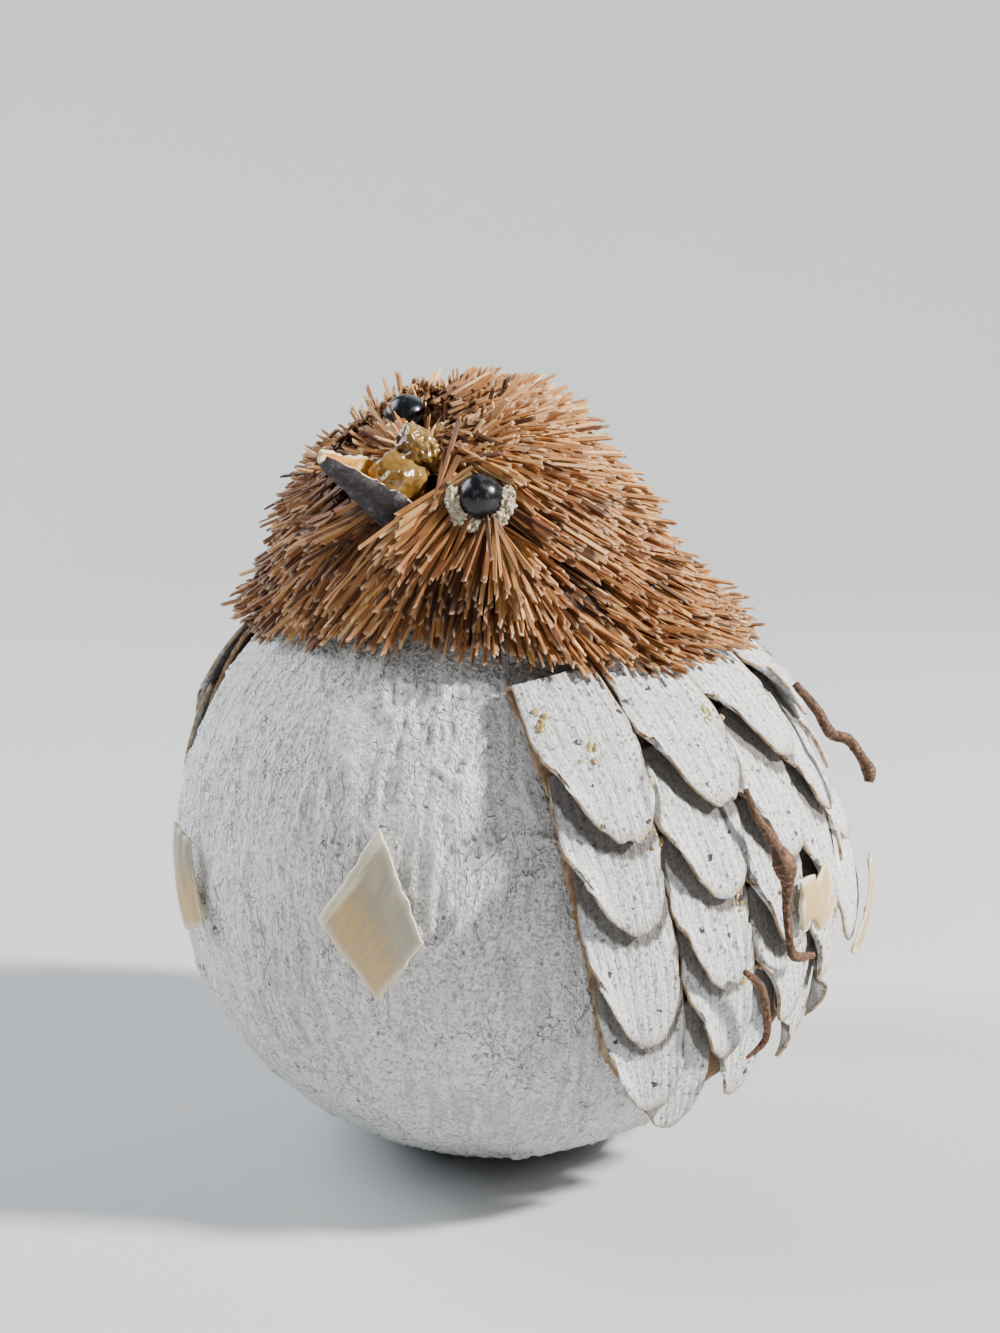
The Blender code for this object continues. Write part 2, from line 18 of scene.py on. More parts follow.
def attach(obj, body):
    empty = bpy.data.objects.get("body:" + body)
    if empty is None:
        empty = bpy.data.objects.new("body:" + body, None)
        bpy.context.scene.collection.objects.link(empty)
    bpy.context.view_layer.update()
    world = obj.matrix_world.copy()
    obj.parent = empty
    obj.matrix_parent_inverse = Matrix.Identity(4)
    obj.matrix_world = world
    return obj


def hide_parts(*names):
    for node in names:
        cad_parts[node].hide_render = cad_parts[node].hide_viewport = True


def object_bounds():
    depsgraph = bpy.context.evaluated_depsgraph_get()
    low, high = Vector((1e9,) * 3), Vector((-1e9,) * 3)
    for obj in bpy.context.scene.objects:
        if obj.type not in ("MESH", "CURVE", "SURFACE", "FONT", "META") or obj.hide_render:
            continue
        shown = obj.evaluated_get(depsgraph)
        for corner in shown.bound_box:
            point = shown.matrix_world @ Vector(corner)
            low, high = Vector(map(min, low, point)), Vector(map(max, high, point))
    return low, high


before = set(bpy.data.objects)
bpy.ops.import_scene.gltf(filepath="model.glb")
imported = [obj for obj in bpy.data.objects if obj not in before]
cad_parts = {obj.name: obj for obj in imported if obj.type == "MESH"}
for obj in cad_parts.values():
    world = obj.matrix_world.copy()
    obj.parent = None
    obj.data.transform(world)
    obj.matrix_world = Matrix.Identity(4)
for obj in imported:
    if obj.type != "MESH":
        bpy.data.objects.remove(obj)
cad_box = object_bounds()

MM = 0.001
print("frame loaded with", len(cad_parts), "solids")

# %% [markdown]
# ## Camera
# The view is a three quarter one from the bird's left front, a little above the
# ball.  The distance and the lens were worked out from the round outline of the
# ball, whose real radius is 44 mm, so one fixed camera matches the picture.

# %% Camera
CAMERA_PLACE = Vector((0.17639, -0.20291, 0.11462))
CAMERA_AZIMUTH = 41.0
CAMERA_PITCH = 10.3
CAMERA_LENS = 54.0

camera_data = bpy.data.cameras.new("camera")
camera_data.lens = CAMERA_LENS
camera_data.sensor_width = 36.0
camera_data.clip_start = 0.01
camera = bpy.data.objects.new("camera", camera_data)
camera.location = CAMERA_PLACE
camera.rotation_euler = (radians(90.0 - CAMERA_PITCH), 0.0, radians(CAMERA_AZIMUTH))
bpy.context.scene.collection.objects.link(camera)
bpy.context.scene.camera = camera
print("camera", round(CAMERA_PLACE.length / MM), "mm from the foot of the bird")

# %% [markdown]
# ## Floor and light
# A plain pale floor runs up into a backdrop in one soft curve, so that no line
# shows behind the bird.  A small key light stands at the right, so that the scales
# throw crisp shadows down to the left.  A broad cool light fills the shade from the
# left, and a weak one behind the bird lights the back.

# %% Floor and backdrop
FLOOR_HALF = 1.6
FLOOR_WIDER = 1.6
FLOOR_COLOUR = (0.52, 0.53, 0.54, 1.0)
SWEEP_START = 0.55
SWEEP_RADIUS = 0.5


def make_floor():
    """Pale sheet that lies flat under the bird and bends up behind it."""
    bm = bmesh.new()
    bmesh.ops.create_grid(bm, x_segments=4, y_segments=60, size=FLOOR_HALF)
    for vert in bm.verts:
        over = max(vert.co.y - SWEEP_START, 0.0)
        bend = min(over / SWEEP_RADIUS, pi / 2.0)
        rest = max(over - SWEEP_RADIUS * pi / 2.0, 0.0)
        vert.co.z = SWEEP_RADIUS * (1.0 - cos(bend)) + rest
        vert.co.y = min(vert.co.y, SWEEP_START) + SWEEP_RADIUS * sin(bend)
        vert.co.x *= FLOOR_WIDER
    bmesh.ops.rotate(
        bm, verts=bm.verts[:], matrix=Matrix.Rotation(radians(CAMERA_AZIMUTH), 3, "Z"))
    mesh = bpy.data.meshes.new("floor")
    bm.to_mesh(mesh)
    bm.free()
    mesh.shade_smooth()
    floor = bpy.data.objects.new("floor", mesh)
    bpy.context.scene.collection.objects.link(floor)
    paint = bpy.data.materials.new("floor_paper")
    paint.use_nodes = True
    shader = paint.node_tree.nodes["Principled BSDF"]
    shader.inputs["Base Color"].default_value = FLOOR_COLOUR
    shader.inputs["Roughness"].default_value = 0.8
    mesh.materials.append(paint)
    return floor


floor = make_floor()
print("floor", len(floor.data.polygons), "faces")

# %% Lights
BIRD_MIDDLE = Vector((0.0, 0.0, 0.05))
SKY_COLOUR = (0.86, 0.92, 1.0, 1.0)
SKY_STRENGTH = 0.13
# Each lamp: name, azimuth, elevation, distance, size, power and colour.
LAMPS = (
    ("key_light", 115.0, 35.0, 1.0, 0.09, 33.0, (1.0, 0.955, 0.89)),
    ("fill_light", -68.0, 35.0, 1.1, 0.8, 20.5, (0.92, 0.96, 1.0)),
    ("back_light", 200.0, 45.0, 1.2, 0.8, 2.4, (0.95, 0.97, 1.0)),
)


def direction(azimuth, elevation):
    """Unit vector: azimuth from the bird's front towards its left side, in degrees."""
    flat = cos(radians(elevation))
    return Vector((
        sin(radians(azimuth)) * flat,
        -cos(radians(azimuth)) * flat,
        sin(radians(elevation)),
    ))


def add_lamp(name, azimuth, elevation, distance, size, power, colour):
    """Square area light that looks at the bird."""
    lamp = bpy.data.lights.new(name, "AREA")
    lamp.size = size
    lamp.energy = power
    lamp.color = colour
    place = direction(azimuth, elevation) * distance
    obj = bpy.data.objects.new(name, lamp)
    obj.location = BIRD_MIDDLE + place
    obj.rotation_euler = place.to_track_quat("Z", "Y").to_euler()
    bpy.context.scene.collection.objects.link(obj)


for lamp in LAMPS:
    add_lamp(*lamp)
world = bpy.data.worlds.new("studio")
world.use_nodes = True
sky = world.node_tree.nodes["Background"]
sky.inputs["Color"].default_value = SKY_COLOUR
sky.inputs["Strength"].default_value = SKY_STRENGTH
bpy.context.scene.world = world
print(len(LAMPS), "lamps and a pale sky")

# %% [markdown]
# ## The shape that everything sits on
# Scales, thatch and petals all lie on the paper skin, so the script first needs
# that skin as a formula: a ball with a soft swelling on one cheek, a flattened upper
# back and a blunt tail melted into it.  The same driving sizes shaped the solids.
# Heights over the skin are measured square to it, so that thin layers keep their
# distance.  Lengths are in metres, or in millimetres where a name ends in MM.  Places
# on the ball, and what is measured along its skin, are angles in degrees.

# %% The skin as a formula
BALL_R = 0.044
BALL_CENTRE = Vector((0.0, 0.0, 0.042))
CHEEK_SWELL = 0.0012
BACK_FLATTENING = 0.0048
TAIL_CENTRE_OUT = 0.035
TAIL_HALF_LENGTH = 0.038
TAIL_HALF_WIDTH = 0.0198
TAIL_HALF_HEIGHT = 0.026
TAIL_BLEND = 0.009
WING_TILT = radians(13.0)
DEGREE = pi / 180.0
PROBE = 0.002


WING_LEAN = Matrix.Rotation(WING_TILT, 3, "X")


def wing_direction(azimuth, latitude):
    """The same on the wings' globe, whose pole leans towards the front."""
    return WING_LEAN @ direction(azimuth, latitude)


def ripple(first, second, third):
    """Smooth noise between about -1 and 1 at three numbers."""
    return noise.noise(Vector((first, second, third)))


def smoothstep(low, high, value):
    """Rise softly from 0 at low to 1 at high; low may be the larger number."""
    share = min(max((value - low) / (high - low), 0.0), 1.0)
    return share * share * (3.0 - 2.0 * share)


TAIL_AXIS = direction(175.0, -21.0)
TAIL_SIDE = direction(265.0, 0.0)
TAIL_UP = TAIL_AXIS.cross(TAIL_SIDE)
CHEEK_AXIS = direction(-45.0, -22.0)
BACK_AXIS = direction(180.0, 32.0)


def body_radius(way):
    """Distance from the ball's centre to the paper skin along a unit vector."""
    cheek = max(way.dot(CHEEK_AXIS), 0.0)
    back = max(way.dot(BACK_AXIS), 0.0)
    ball = BALL_R + CHEEK_SWELL * cheek ** 4 - BACK_FLATTENING * back ** 2
    along = way.dot(TAIL_AXIS) / TAIL_HALF_LENGTH
    across = way.dot(TAIL_SIDE) / TAIL_HALF_WIDTH
    upward = way.dot(TAIL_UP) / TAIL_HALF_HEIGHT
    start = TAIL_CENTRE_OUT / TAIL_HALF_LENGTH
    steep = along * along + across * across + upward * upward
    under_root = (along * start) ** 2 - steep * (start * start - 1.0)
    if under_root <= 0.0 or along <= 0.0:
        return ball
    tail = (along * start + sqrt(under_root)) / steep
    share = min(max(0.5 + 0.5 * (tail - ball) / TAIL_BLEND, 0.0), 1.0)
    return tail * share + ball * (1.0 - share) + TAIL_BLEND * share * (1.0 - share)


def skin_normal(way):
    """Unit vector square to the skin."""
    reference = Vector((0.0, 1.0, 0.0)) if abs(way.z) > 0.9 else Vector((0.0, 0.0, 1.0))
    east = way.cross(reference).normalized() * PROBE
    north = east.cross(way)
    skin = way * body_radius(way)
    beside = (way + east).normalized()
    above = (way + north).normalized()
    normal = (beside * body_radius(beside) - skin).cross(above * body_radius(above) - skin)
    normal *= 1.0 if normal.dot(way) > 0.0 else -1.0
    return normal.normalized()


def on_body(way, height):
    """Point at a height over the paper skin, measured square to the skin."""
    return BALL_CENTRE + way * body_radius(way) + skin_normal(way) * height


print("tail reaches", round((TAIL_CENTRE_OUT + TAIL_HALF_LENGTH) / MM), "mm from the centre")

# %% [markdown]
# ## Small helpers
# Most pieces here are thin sheets: bark scales, petals, backing and beak are all
# one flat grid that is mapped onto a curved place and then given a thickness.  The
# grid keeps two painted values for the finish, how high a spot of relief stands and
# how near the edge is, and a flat map in millimetres that grain can follow.

# %% Pieces from a bmesh
def settle(piece, slot, *nodes):
    """Fix a piece to the bird and hide the solids it stands for."""
    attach(piece, "root")
    if nodes:
        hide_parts(*nodes)


def finish_mesh(bm, name, *materials, smooth=True):
    """Named object from a finished bmesh, at the origin."""
    mesh = bpy.data.meshes.new(name)
    bm.to_mesh(mesh)
    bm.free()
    if smooth:
        mesh.shade_smooth()
    for material in materials:
        mesh.materials.append(material)
    piece = bpy.data.objects.new(name, mesh)
    bpy.context.scene.collection.objects.link(piece)
    return piece


def gather(gathered, bm):
    """Add a finished bmesh to a larger one."""
    part = bpy.data.meshes.new("part")
    bm.to_mesh(part)
    bm.free()
    gathered.from_mesh(part)
    bpy.data.meshes.remove(part)


def map_grid(bm, columns, rows, point, size_mm):
    """Lay a grid on a place.  point gives the spot, its relief and its edge value."""
    relief = bm.verts.layers.float.get("relief") or bm.verts.layers.float.new("relief")
    edge = bm.verts.layers.float.get("edge") or bm.verts.layers.float.new("edge")
    flat = bm.loops.layers.uv.get("flat") or bm.loops.layers.uv.new("flat")
    made = bmesh.ops.create_grid(bm, x_segments=columns, y_segments=rows, size=1.0)
    faces = {face for vert in made["verts"] for face in vert.link_faces}
    for face in faces:
        for loop in face.loops:
            across, along = loop.vert.co.x, (1.0 - loop.vert.co.y) / 2.0
            loop[flat].uv = (across * size_mm[0] / 2.0, along * size_mm[1])
    for vert in made["verts"]:
        spot, height, rim = point(vert.co.x, (1.0 - vert.co.y) / 2.0)
        vert.co = spot
        vert[relief] = height
        vert[edge] = rim
    return list(faces)


def thicken(piece, thickness, offset=1.0, rim_material=0, inner_material=0):
    """Give a sheet its thickness, with its own finish on rim and inside if it has one."""
    solidify = piece.modifiers.new("thickness", "SOLIDIFY")
    solidify.thickness = thickness
    solidify.offset = offset
    solidify.material_offset = inner_material
    solidify.material_offset_rim = rim_material


def make_sheet(name, finish, columns, rows, point, size_mm, thickness, flip=False):
    """Mapped grid of one finish with its thickness; flip turns it inside out."""
    bm = bmesh.new()
    faces = map_grid(bm, columns, rows, point, size_mm)
    if flip:
        bmesh.ops.reverse_faces(bm, faces=faces)
    piece = finish_mesh(bm, name, finish)
    thicken(piece, thickness)
    return piece


print("helpers ready")

# %% [markdown]
# ## Shared finishes
# Three effects come back in many finishes: small dark specks in the chalk paint,
# soft stains, and grain that runs along a strip.  Each is built once as a node
# group with named inputs and is placed in every material that needs it.

# %% Node helpers
def add_node(tree, kind, **settings):
    """New node with some of its settings."""
    made = tree.nodes.new(kind)
    for name, value in settings.items():
        setattr(made, name, value)
    return made


def connect(tree, source, target):
    """Link an output, or set a plain value."""
    if isinstance(source, bpy.types.NodeSocket):
        tree.links.new(source, target)
    else:
        target.default_value = source


def maths(tree, operation, first, second=0.5, clamp=False):
    """One sum on two values."""
    made = add_node(tree, "ShaderNodeMath", operation=operation, use_clamp=clamp)
    connect(tree, first, made.inputs[0])
    connect(tree, second, made.inputs[1])
    return made.outputs[0]


def vector_maths(tree, operation, *values):
    """One sum on vectors."""
    made = add_node(tree, "ShaderNodeVectorMath", operation=operation)
    for value, socket in zip(values, made.inputs):
        connect(tree, value, socket)
    return made.outputs[0]


def grain_noise(tree, coordinates, scale, detail=3.0, roughness=0.55, distortion=0.0):
    """Value of a noise texture."""
    made = add_node(tree, "ShaderNodeTexNoise")
    connect(tree, coordinates, made.inputs["Vector"])
    connect(tree, scale, made.inputs["Scale"])
    made.inputs["Detail"].default_value = detail
    made.inputs["Roughness"].default_value = roughness
    made.inputs["Distortion"].default_value = distortion
    return made.outputs["Fac"]


def stretch(tree, coordinates, factors):
    """Coordinates times a factor on each axis."""
    made = add_node(tree, "ShaderNodeMapping")
    connect(tree, coordinates, made.inputs["Vector"])
    made.inputs["Scale"].default_value = factors
    return made.outputs["Vector"]


def soft_step(tree, value, low, high):
    """0 under low, 1 over high, and smooth between."""
    made = add_node(tree, "ShaderNodeMapRange", interpolation_type="SMOOTHSTEP")
    connect(tree, value, made.inputs["Value"])
    connect(tree, low, made.inputs["From Min"])
    connect(tree, high, made.inputs["From Max"])
    return made.outputs["Result"]


def blend_colour(tree, share, first, second, mode="MIX"):
    """Mix two colours by a share."""
    made = add_node(tree, "ShaderNodeMix", data_type="RGBA", blend_type=mode)
    connect(tree, share, made.inputs[0])
    for colour, socket in ((first, made.inputs[6]), (second, made.inputs[7])):
        if isinstance(colour, tuple):
            colour = (*colour, 1.0)
        connect(tree, colour, socket)
    return made.outputs[2]


def colour_ramp(tree, value, stops):
    """Colours at places along 0 to 1."""
    made = add_node(tree, "ShaderNodeValToRGB")
    connect(tree, value, made.inputs["Fac"])
    points = made.color_ramp.elements
    while len(points) < len(stops):
        points.new(0.5)
    for element, (place, colour) in zip(points, stops):
        element.position = place
        element.color = (*colour, 1.0)
    return made.outputs["Color"]


def raised(tree, height, distance, strength=1.0, normal=None):
    """Bumped normal from a height."""
    made = add_node(tree, "ShaderNodeBump")
    connect(tree, height, made.inputs["Height"])
    made.inputs["Distance"].default_value = distance
    made.inputs["Strength"].default_value = strength
    if normal is not None:
        connect(tree, normal, made.inputs["Normal"])
    return made.outputs["Normal"]


def painted(tree, name):
    """Value painted on the piece's points."""
    return add_node(tree, "ShaderNodeAttribute", attribute_name=name).outputs["Fac"]


def new_finish(name, roughness):
    """Material with its node tree and its shader."""
    material = bpy.data.materials.new(name)
    material.use_nodes = True
    tree = material.node_tree
    shader = tree.nodes["Principled BSDF"]
    shader.inputs["Roughness"].default_value = roughness
    return material, tree, shader


def object_place(tree):
    """Object coordinates in metres."""
    return add_node(tree, "ShaderNodeTexCoord").outputs["Object"]


def flat_place(tree):
    """The piece's own flat map in millimetres."""
    return add_node(tree, "ShaderNodeUVMap", uv_map="flat").outputs["UV"]


def coat(tree, shade, mask, share, colour):
    """Brush a colour over a shade where a mask says, as strongly as its share."""
    return blend_colour(tree, maths(tree, "MULTIPLY", mask, share), shade, colour)


def coats(tree, shade, *layers):
    """Coats that follow a value.  Each is the value, where the coat starts, where it is
    full, its share and its colour."""
    for value, start, full, share, colour in layers:
        shade = coat(tree, shade, soft_step(tree, value, start, full), share, colour)
    return shade


def rough_finish(name, roughness, grain, stops, depth, strength, squeeze=None):
    """Plain stuff whose colours and relief both come from one noise."""
    material, tree, shader = new_finish(name, roughness)
    place = object_place(tree)
    if squeeze:
        place = stretch(tree, place, squeeze)
    value = grain_noise(tree, place, *grain)
    connect(tree, colour_ramp(tree, value, stops), shader.inputs["Base Color"])
    connect(tree, raised(tree, value, depth, strength), shader.inputs["Normal"])
    return material


def new_group(name, result, **values):
    """Node group that takes a place and named values and gives one value."""
    group = bpy.data.node_groups.new(name, "ShaderNodeTree")
    group.interface.new_socket("Place", in_out="INPUT", socket_type="NodeSocketVector")
    for title, value in values.items():
        socket = group.interface.new_socket(
            title, in_out="INPUT", socket_type="NodeSocketFloat")
        socket.default_value = value
    group.interface.new_socket(result, in_out="OUTPUT", socket_type="NodeSocketFloat")
    given = add_node(group, "NodeGroupInput").outputs
    return group, given, add_node(group, "NodeGroupOutput").inputs[result]


def use_group(tree, group, **values):
    """Place a group in a material with its own values."""
    made = add_node(tree, "ShaderNodeGroup", node_tree=group)
    for name, value in values.items():
        connect(tree, value, made.inputs[name])
    return made.outputs[0]


print("node helpers ready")


# %% Specks, stains and grain as groups
def build_specks():
    """Scattered small dark dots: some cells of a cell texture, near their middle."""
    group, given, result = new_group("specks", "Mask", Scale=500.0, Size=0.2, Amount=0.2)
    wander = add_node(group, "ShaderNodeTexNoise")
    connect(group, given["Place"], wander.inputs["Vector"])
    connect(group, maths(group, "MULTIPLY", given["Scale"], 2.6),
            wander.inputs["Scale"])
    reach = add_node(group, "ShaderNodeVectorMath", operation="SCALE")
    connect(group, wander.outputs["Color"], reach.inputs[0])
    connect(group, maths(group, "DIVIDE", 0.9, given["Scale"]),
            reach.inputs["Scale"])
    moved = vector_maths(group, "ADD", given["Place"], reach.outputs[0])
    cells = add_node(group, "ShaderNodeTexVoronoi")
    connect(group, moved, cells.inputs["Vector"])
    connect(group, given["Scale"], cells.inputs["Scale"])
    chosen = add_node(group, "ShaderNodeSeparateColor")
    connect(group, cells.outputs["Color"], chosen.inputs[0])
    picked = maths(group, "LESS_THAN", chosen.outputs[0], given["Amount"])
    size = maths(group, "MULTIPLY", given["Size"], chosen.outputs[1])
    near = maths(group, "SUBTRACT", size, cells.outputs["Distance"])
    dot = maths(group, "MULTIPLY", near, 24.0, clamp=True)
    connect(group, maths(group, "MULTIPLY", dot, picked), result)
    return group


def build_stain():
    """Soft patches with broken borders."""
    group, given, result = new_group("stain", "Mask", Scale=60.0, Level=0.6)
    field = grain_noise(group, given["Place"], given["Scale"], 5.0, 0.6)
    higher = maths(group, "ADD", given["Level"], 0.08)
    mask = soft_step(group, field, given["Level"], higher)
    connect(group, mask, result)
    return group


def build_grain():
    """Streaks that run along the second axis of the place."""
    group, given, result = new_group("grain", "Height", Across=3.0, Along=0.2)
    factors = add_node(group, "ShaderNodeCombineXYZ")
    connect(group, given["Across"], factors.inputs[0])
    connect(group, given["Along"], factors.inputs[1])
    connect(group, given["Along"], factors.inputs[2])
    scaled = vector_maths(group, "MULTIPLY", given["Place"], factors.outputs[0])
    streaks = grain_noise(group, scaled, 1.0, 4.0, 0.6)
    connect(group, streaks, result)
    return group


SPECKS = build_specks()
STAIN = build_stain()
GRAIN = build_grain()
print("groups:", [group.name for group in bpy.data.node_groups])

# %% [markdown]
# ## The paper ball
# The real ball is layered white paper, pasted wet and brushed over with chalk
# paint.  It has long brush marks from top to bottom, raised folds where the paper
# bunched up, and hair cracks.  A cube whose faces are cut into a fine grid and
# pushed out to the skin has even faces with no pinched poles, and enough of them
# that the folds can be real relief and not only shading.

# %% Paper finish
def hair_cracks(tree, place, upright):
    """Thin lines between the cells of a cell texture, bent by noise."""
    wavering = add_node(tree, "ShaderNodeTexNoise")
    connect(tree, place, wavering.inputs["Vector"])
    wavering.inputs["Scale"].default_value = 300.0
    bent = vector_maths(
        tree, "MULTIPLY_ADD", wavering.outputs["Color"], (0.004, 0.004, 0.006), upright)
    crazed = add_node(tree, "ShaderNodeTexVoronoi", feature="DISTANCE_TO_EDGE")
    connect(tree, bent, crazed.inputs["Vector"])
    crazed.inputs["Scale"].default_value = 190.0
    return soft_step(tree, crazed.outputs["Distance"], 0.030, 0.008)


def make_paper_finish():
    """White paint on paper: brush marks, hair cracks, specks, creamy glue; painted shade in
    the hollows of the relief and painted highlight on its folds and ridges.
    """
    material, tree, shader = new_finish("pasted_paper", 0.82)
    place = object_place(tree)
    relief = painted(tree, "relief")
    cloudy = grain_noise(tree, place, 90.0, 4.0, 0.6)
    upright = stretch(tree, place, (1.0, 1.0, 0.30))
    strokes = grain_noise(tree, upright, 1300.0, 3.0, 0.58)
    crumbs = grain_noise(tree, place, 1900.0, 3.0, 0.62)
    grime = grain_noise(tree, stretch(tree, place, (1.0, 1.0, 0.6)), 300.0, 5.0, 0.7)
    shade = coats(
        tree, (0.80, 0.81, 0.81),
        (cloudy, 0.35, 0.65, 1.0, (0.89, 0.895, 0.885)),
        (strokes, 0.50, 0.40, 0.6, (0.55, 0.565, 0.57)),
        (strokes, 0.53, 0.62, 0.8, (0.92, 0.92, 0.91)),
        (crumbs, 0.48, 0.36, 0.8, (0.40, 0.415, 0.42)),
        (crumbs, 0.50, 0.60, 0.9, (0.97, 0.97, 0.96)),
        (grime, 0.58, 0.72, 0.25, (0.36, 0.375, 0.385)),
        # Darker in the hollows of the relief: painted shade.
        (relief, -0.02, -0.16, 0.5, (0.45, 0.46, 0.47)))
    bristle = grain_noise(tree, upright, 420.0, 2.0, 0.5, 0.8)
    ridge = maths(tree, "ABSOLUTE", maths(tree, "SUBTRACT", bristle, 0.5))
    ridge = maths(tree, "MULTIPLY", soft_step(tree, ridge, 0.030, 0.004),
                  soft_step(tree, cloudy, 0.40, 0.56))
    # White lines on the brush ridges: painted highlight.
    shade = coat(tree, shade, ridge, 0.6, (0.97, 0.97, 0.96))
    # Paler on the folds: painted highlight.
    shade = coats(tree, shade, (relief, 0.05, 0.25, 0.75, (0.90, 0.90, 0.89)))
    hair = hair_cracks(tree, place, upright)
    hair = maths(tree, "MULTIPLY", hair, soft_step(tree, cloudy, 0.50, 0.60))
    shade = coat(tree, shade, hair, 0.45, (0.22, 0.225, 0.23))
    creamy = use_group(tree, STAIN, Place=place, Scale=38.0, Level=0.61)
    shade = coat(tree, shade, creamy, 0.35, (0.74, 0.72, 0.62))
    fine = use_group(tree, SPECKS, Place=place, Scale=1100.0, Size=0.42, Amount=0.10)
    coarse = use_group(tree, SPECKS, Place=place, Scale=300.0, Size=0.20, Amount=0.06)
    shade = coat(tree, shade, fine, 0.75, (0.16, 0.165, 0.17))
    shade = coat(tree, shade, coarse, 0.85, (0.10, 0.10, 0.10))
    connect(tree, shade, shader.inputs["Base Color"])
    rough = soft_step(tree, cloudy, 0.3, 0.7)
    connect(tree, maths(tree, "ADD", maths(tree, "MULTIPLY", rough, 0.2), 0.66),
            shader.inputs["Roughness"])
    normal = raised(tree, strokes, 0.00080, 1.0)
    normal = raised(tree, crumbs, 0.00060, 1.0, normal)
    normal = raised(tree, maths(tree, "SUBTRACT", ridge, hair), 0.00022, 1.0, normal)
    connect(tree, normal, shader.inputs["Normal"])
    return material


paper_finish = make_paper_finish()
print(paper_finish.name, "has", len(paper_finish.node_tree.nodes), "nodes")

# %% Paper relief
BRUSH_DEPTH_MM = 0.25
FOLD_HEIGHT_MM = 0.55
WRINKLE_HEIGHT_MM = 0.28
RELIEF_SINK_MM = 0.58


def fold_line(spot, width):
    """1 on the zero line of a noise field, falling to 0 at its width."""
    return max(0.0, 1.0 - abs(noise.noise(spot)) / width)


def paper_relief(way):
    """Height of the relief in millimetres, mostly below the plain skin."""
    east = atan2(way.x, -way.y) * BALL_R / MM
    north = asin(max(-1.0, min(1.0, way.z))) * BALL_R / MM
    spot = way * (BALL_R / MM)
    sway = noise.noise(spot / 14.0)
    brush = ripple(east * 0.85 + 2.0 * sway, north * 0.09, 3.0)
    brush += 0.6 * ripple(east * 1.7 + 3.0 * sway, north * 0.16, 9.0)
    swell = 0.20 * noise.noise(spot / 17.0) + 0.07 * noise.noise(spot / 4.5)
    folds = fold_line(Vector((east / 7.0 + sway, north / 15.0, 20.0)), 0.055)
    folds *= smoothstep(0.0, 0.35, noise.noise(spot / 9.0 + Vector((7.0, 0.0, 0.0))))
    cross = fold_line(Vector((east / 12.0, north / 5.0 + sway, 31.0)), 0.05)
    cross *= smoothstep(0.12, 0.4, noise.noise(spot / 7.0 + Vector((0.0, 5.0, 0.0))))
    wrinkle = fold_line(Vector((east / 2.3, north / 4.2, 44.0)), 0.16)
    wrinkle *= smoothstep(-0.1, 0.35, noise.noise(spot / 11.0 + Vector((0.0, 0.0, 9.0))))
    relief = BRUSH_DEPTH_MM * brush + swell
    relief += FOLD_HEIGHT_MM * max(folds, 0.8 * cross) + WRINKLE_HEIGHT_MM * wrinkle
    return relief


# %% The ball and its tail
SKIN_CUTS = 127


def make_paper_ball():
    """Cube cut into a fine grid, pushed out to the skin, flat where it stands."""
    bm = bmesh.new()
    painted_relief = bm.verts.layers.float.new("relief")
    bmesh.ops.create_cube(bm, size=2.0)
    bmesh.ops.subdivide_edges(
        bm, edges=bm.edges[:], cuts=SKIN_CUTS, use_grid_fill=True)
    turn = Matrix.Rotation(radians(20.0), 3, "Z")
    for vert in bm.verts:
        even = Vector([sin(pi / 4.0 * c) / cos(pi / 4.0 * c) for c in vert.co])
        way = turn @ even.normalized()
        relief = paper_relief(way)
        fade = 1.0 - smoothstep(0.93, 0.99, -way.z)
        sunk = min((relief - RELIEF_SINK_MM) * fade, 0.0) * MM
        vert.co = BALL_CENTRE + way * (body_radius(way) + sunk)
        vert[painted_relief] = relief
    cut = bmesh.ops.bisect_plane(
        bm, geom=bm.verts[:] + bm.edges[:] + bm.faces[:], dist=0.00001,
        plane_co=(0.0, 0.0, 0.0), plane_no=(0.0, 0.0, 1.0), clear_inner=True)
    rim = [part for part in cut["geom_cut"] if isinstance(part, bmesh.types.BMEdge)]
    bmesh.ops.holes_fill(bm, edges=rim, sides=0)
    bmesh.ops.recalc_face_normals(bm, faces=bm.faces[:])
    return finish_mesh(bm, "paper_ball", paper_finish)


paper_ball = make_paper_ball()
settle(paper_ball, "white_paper", "body")
print("paper ball:", len(paper_ball.data.polygons), "faces")
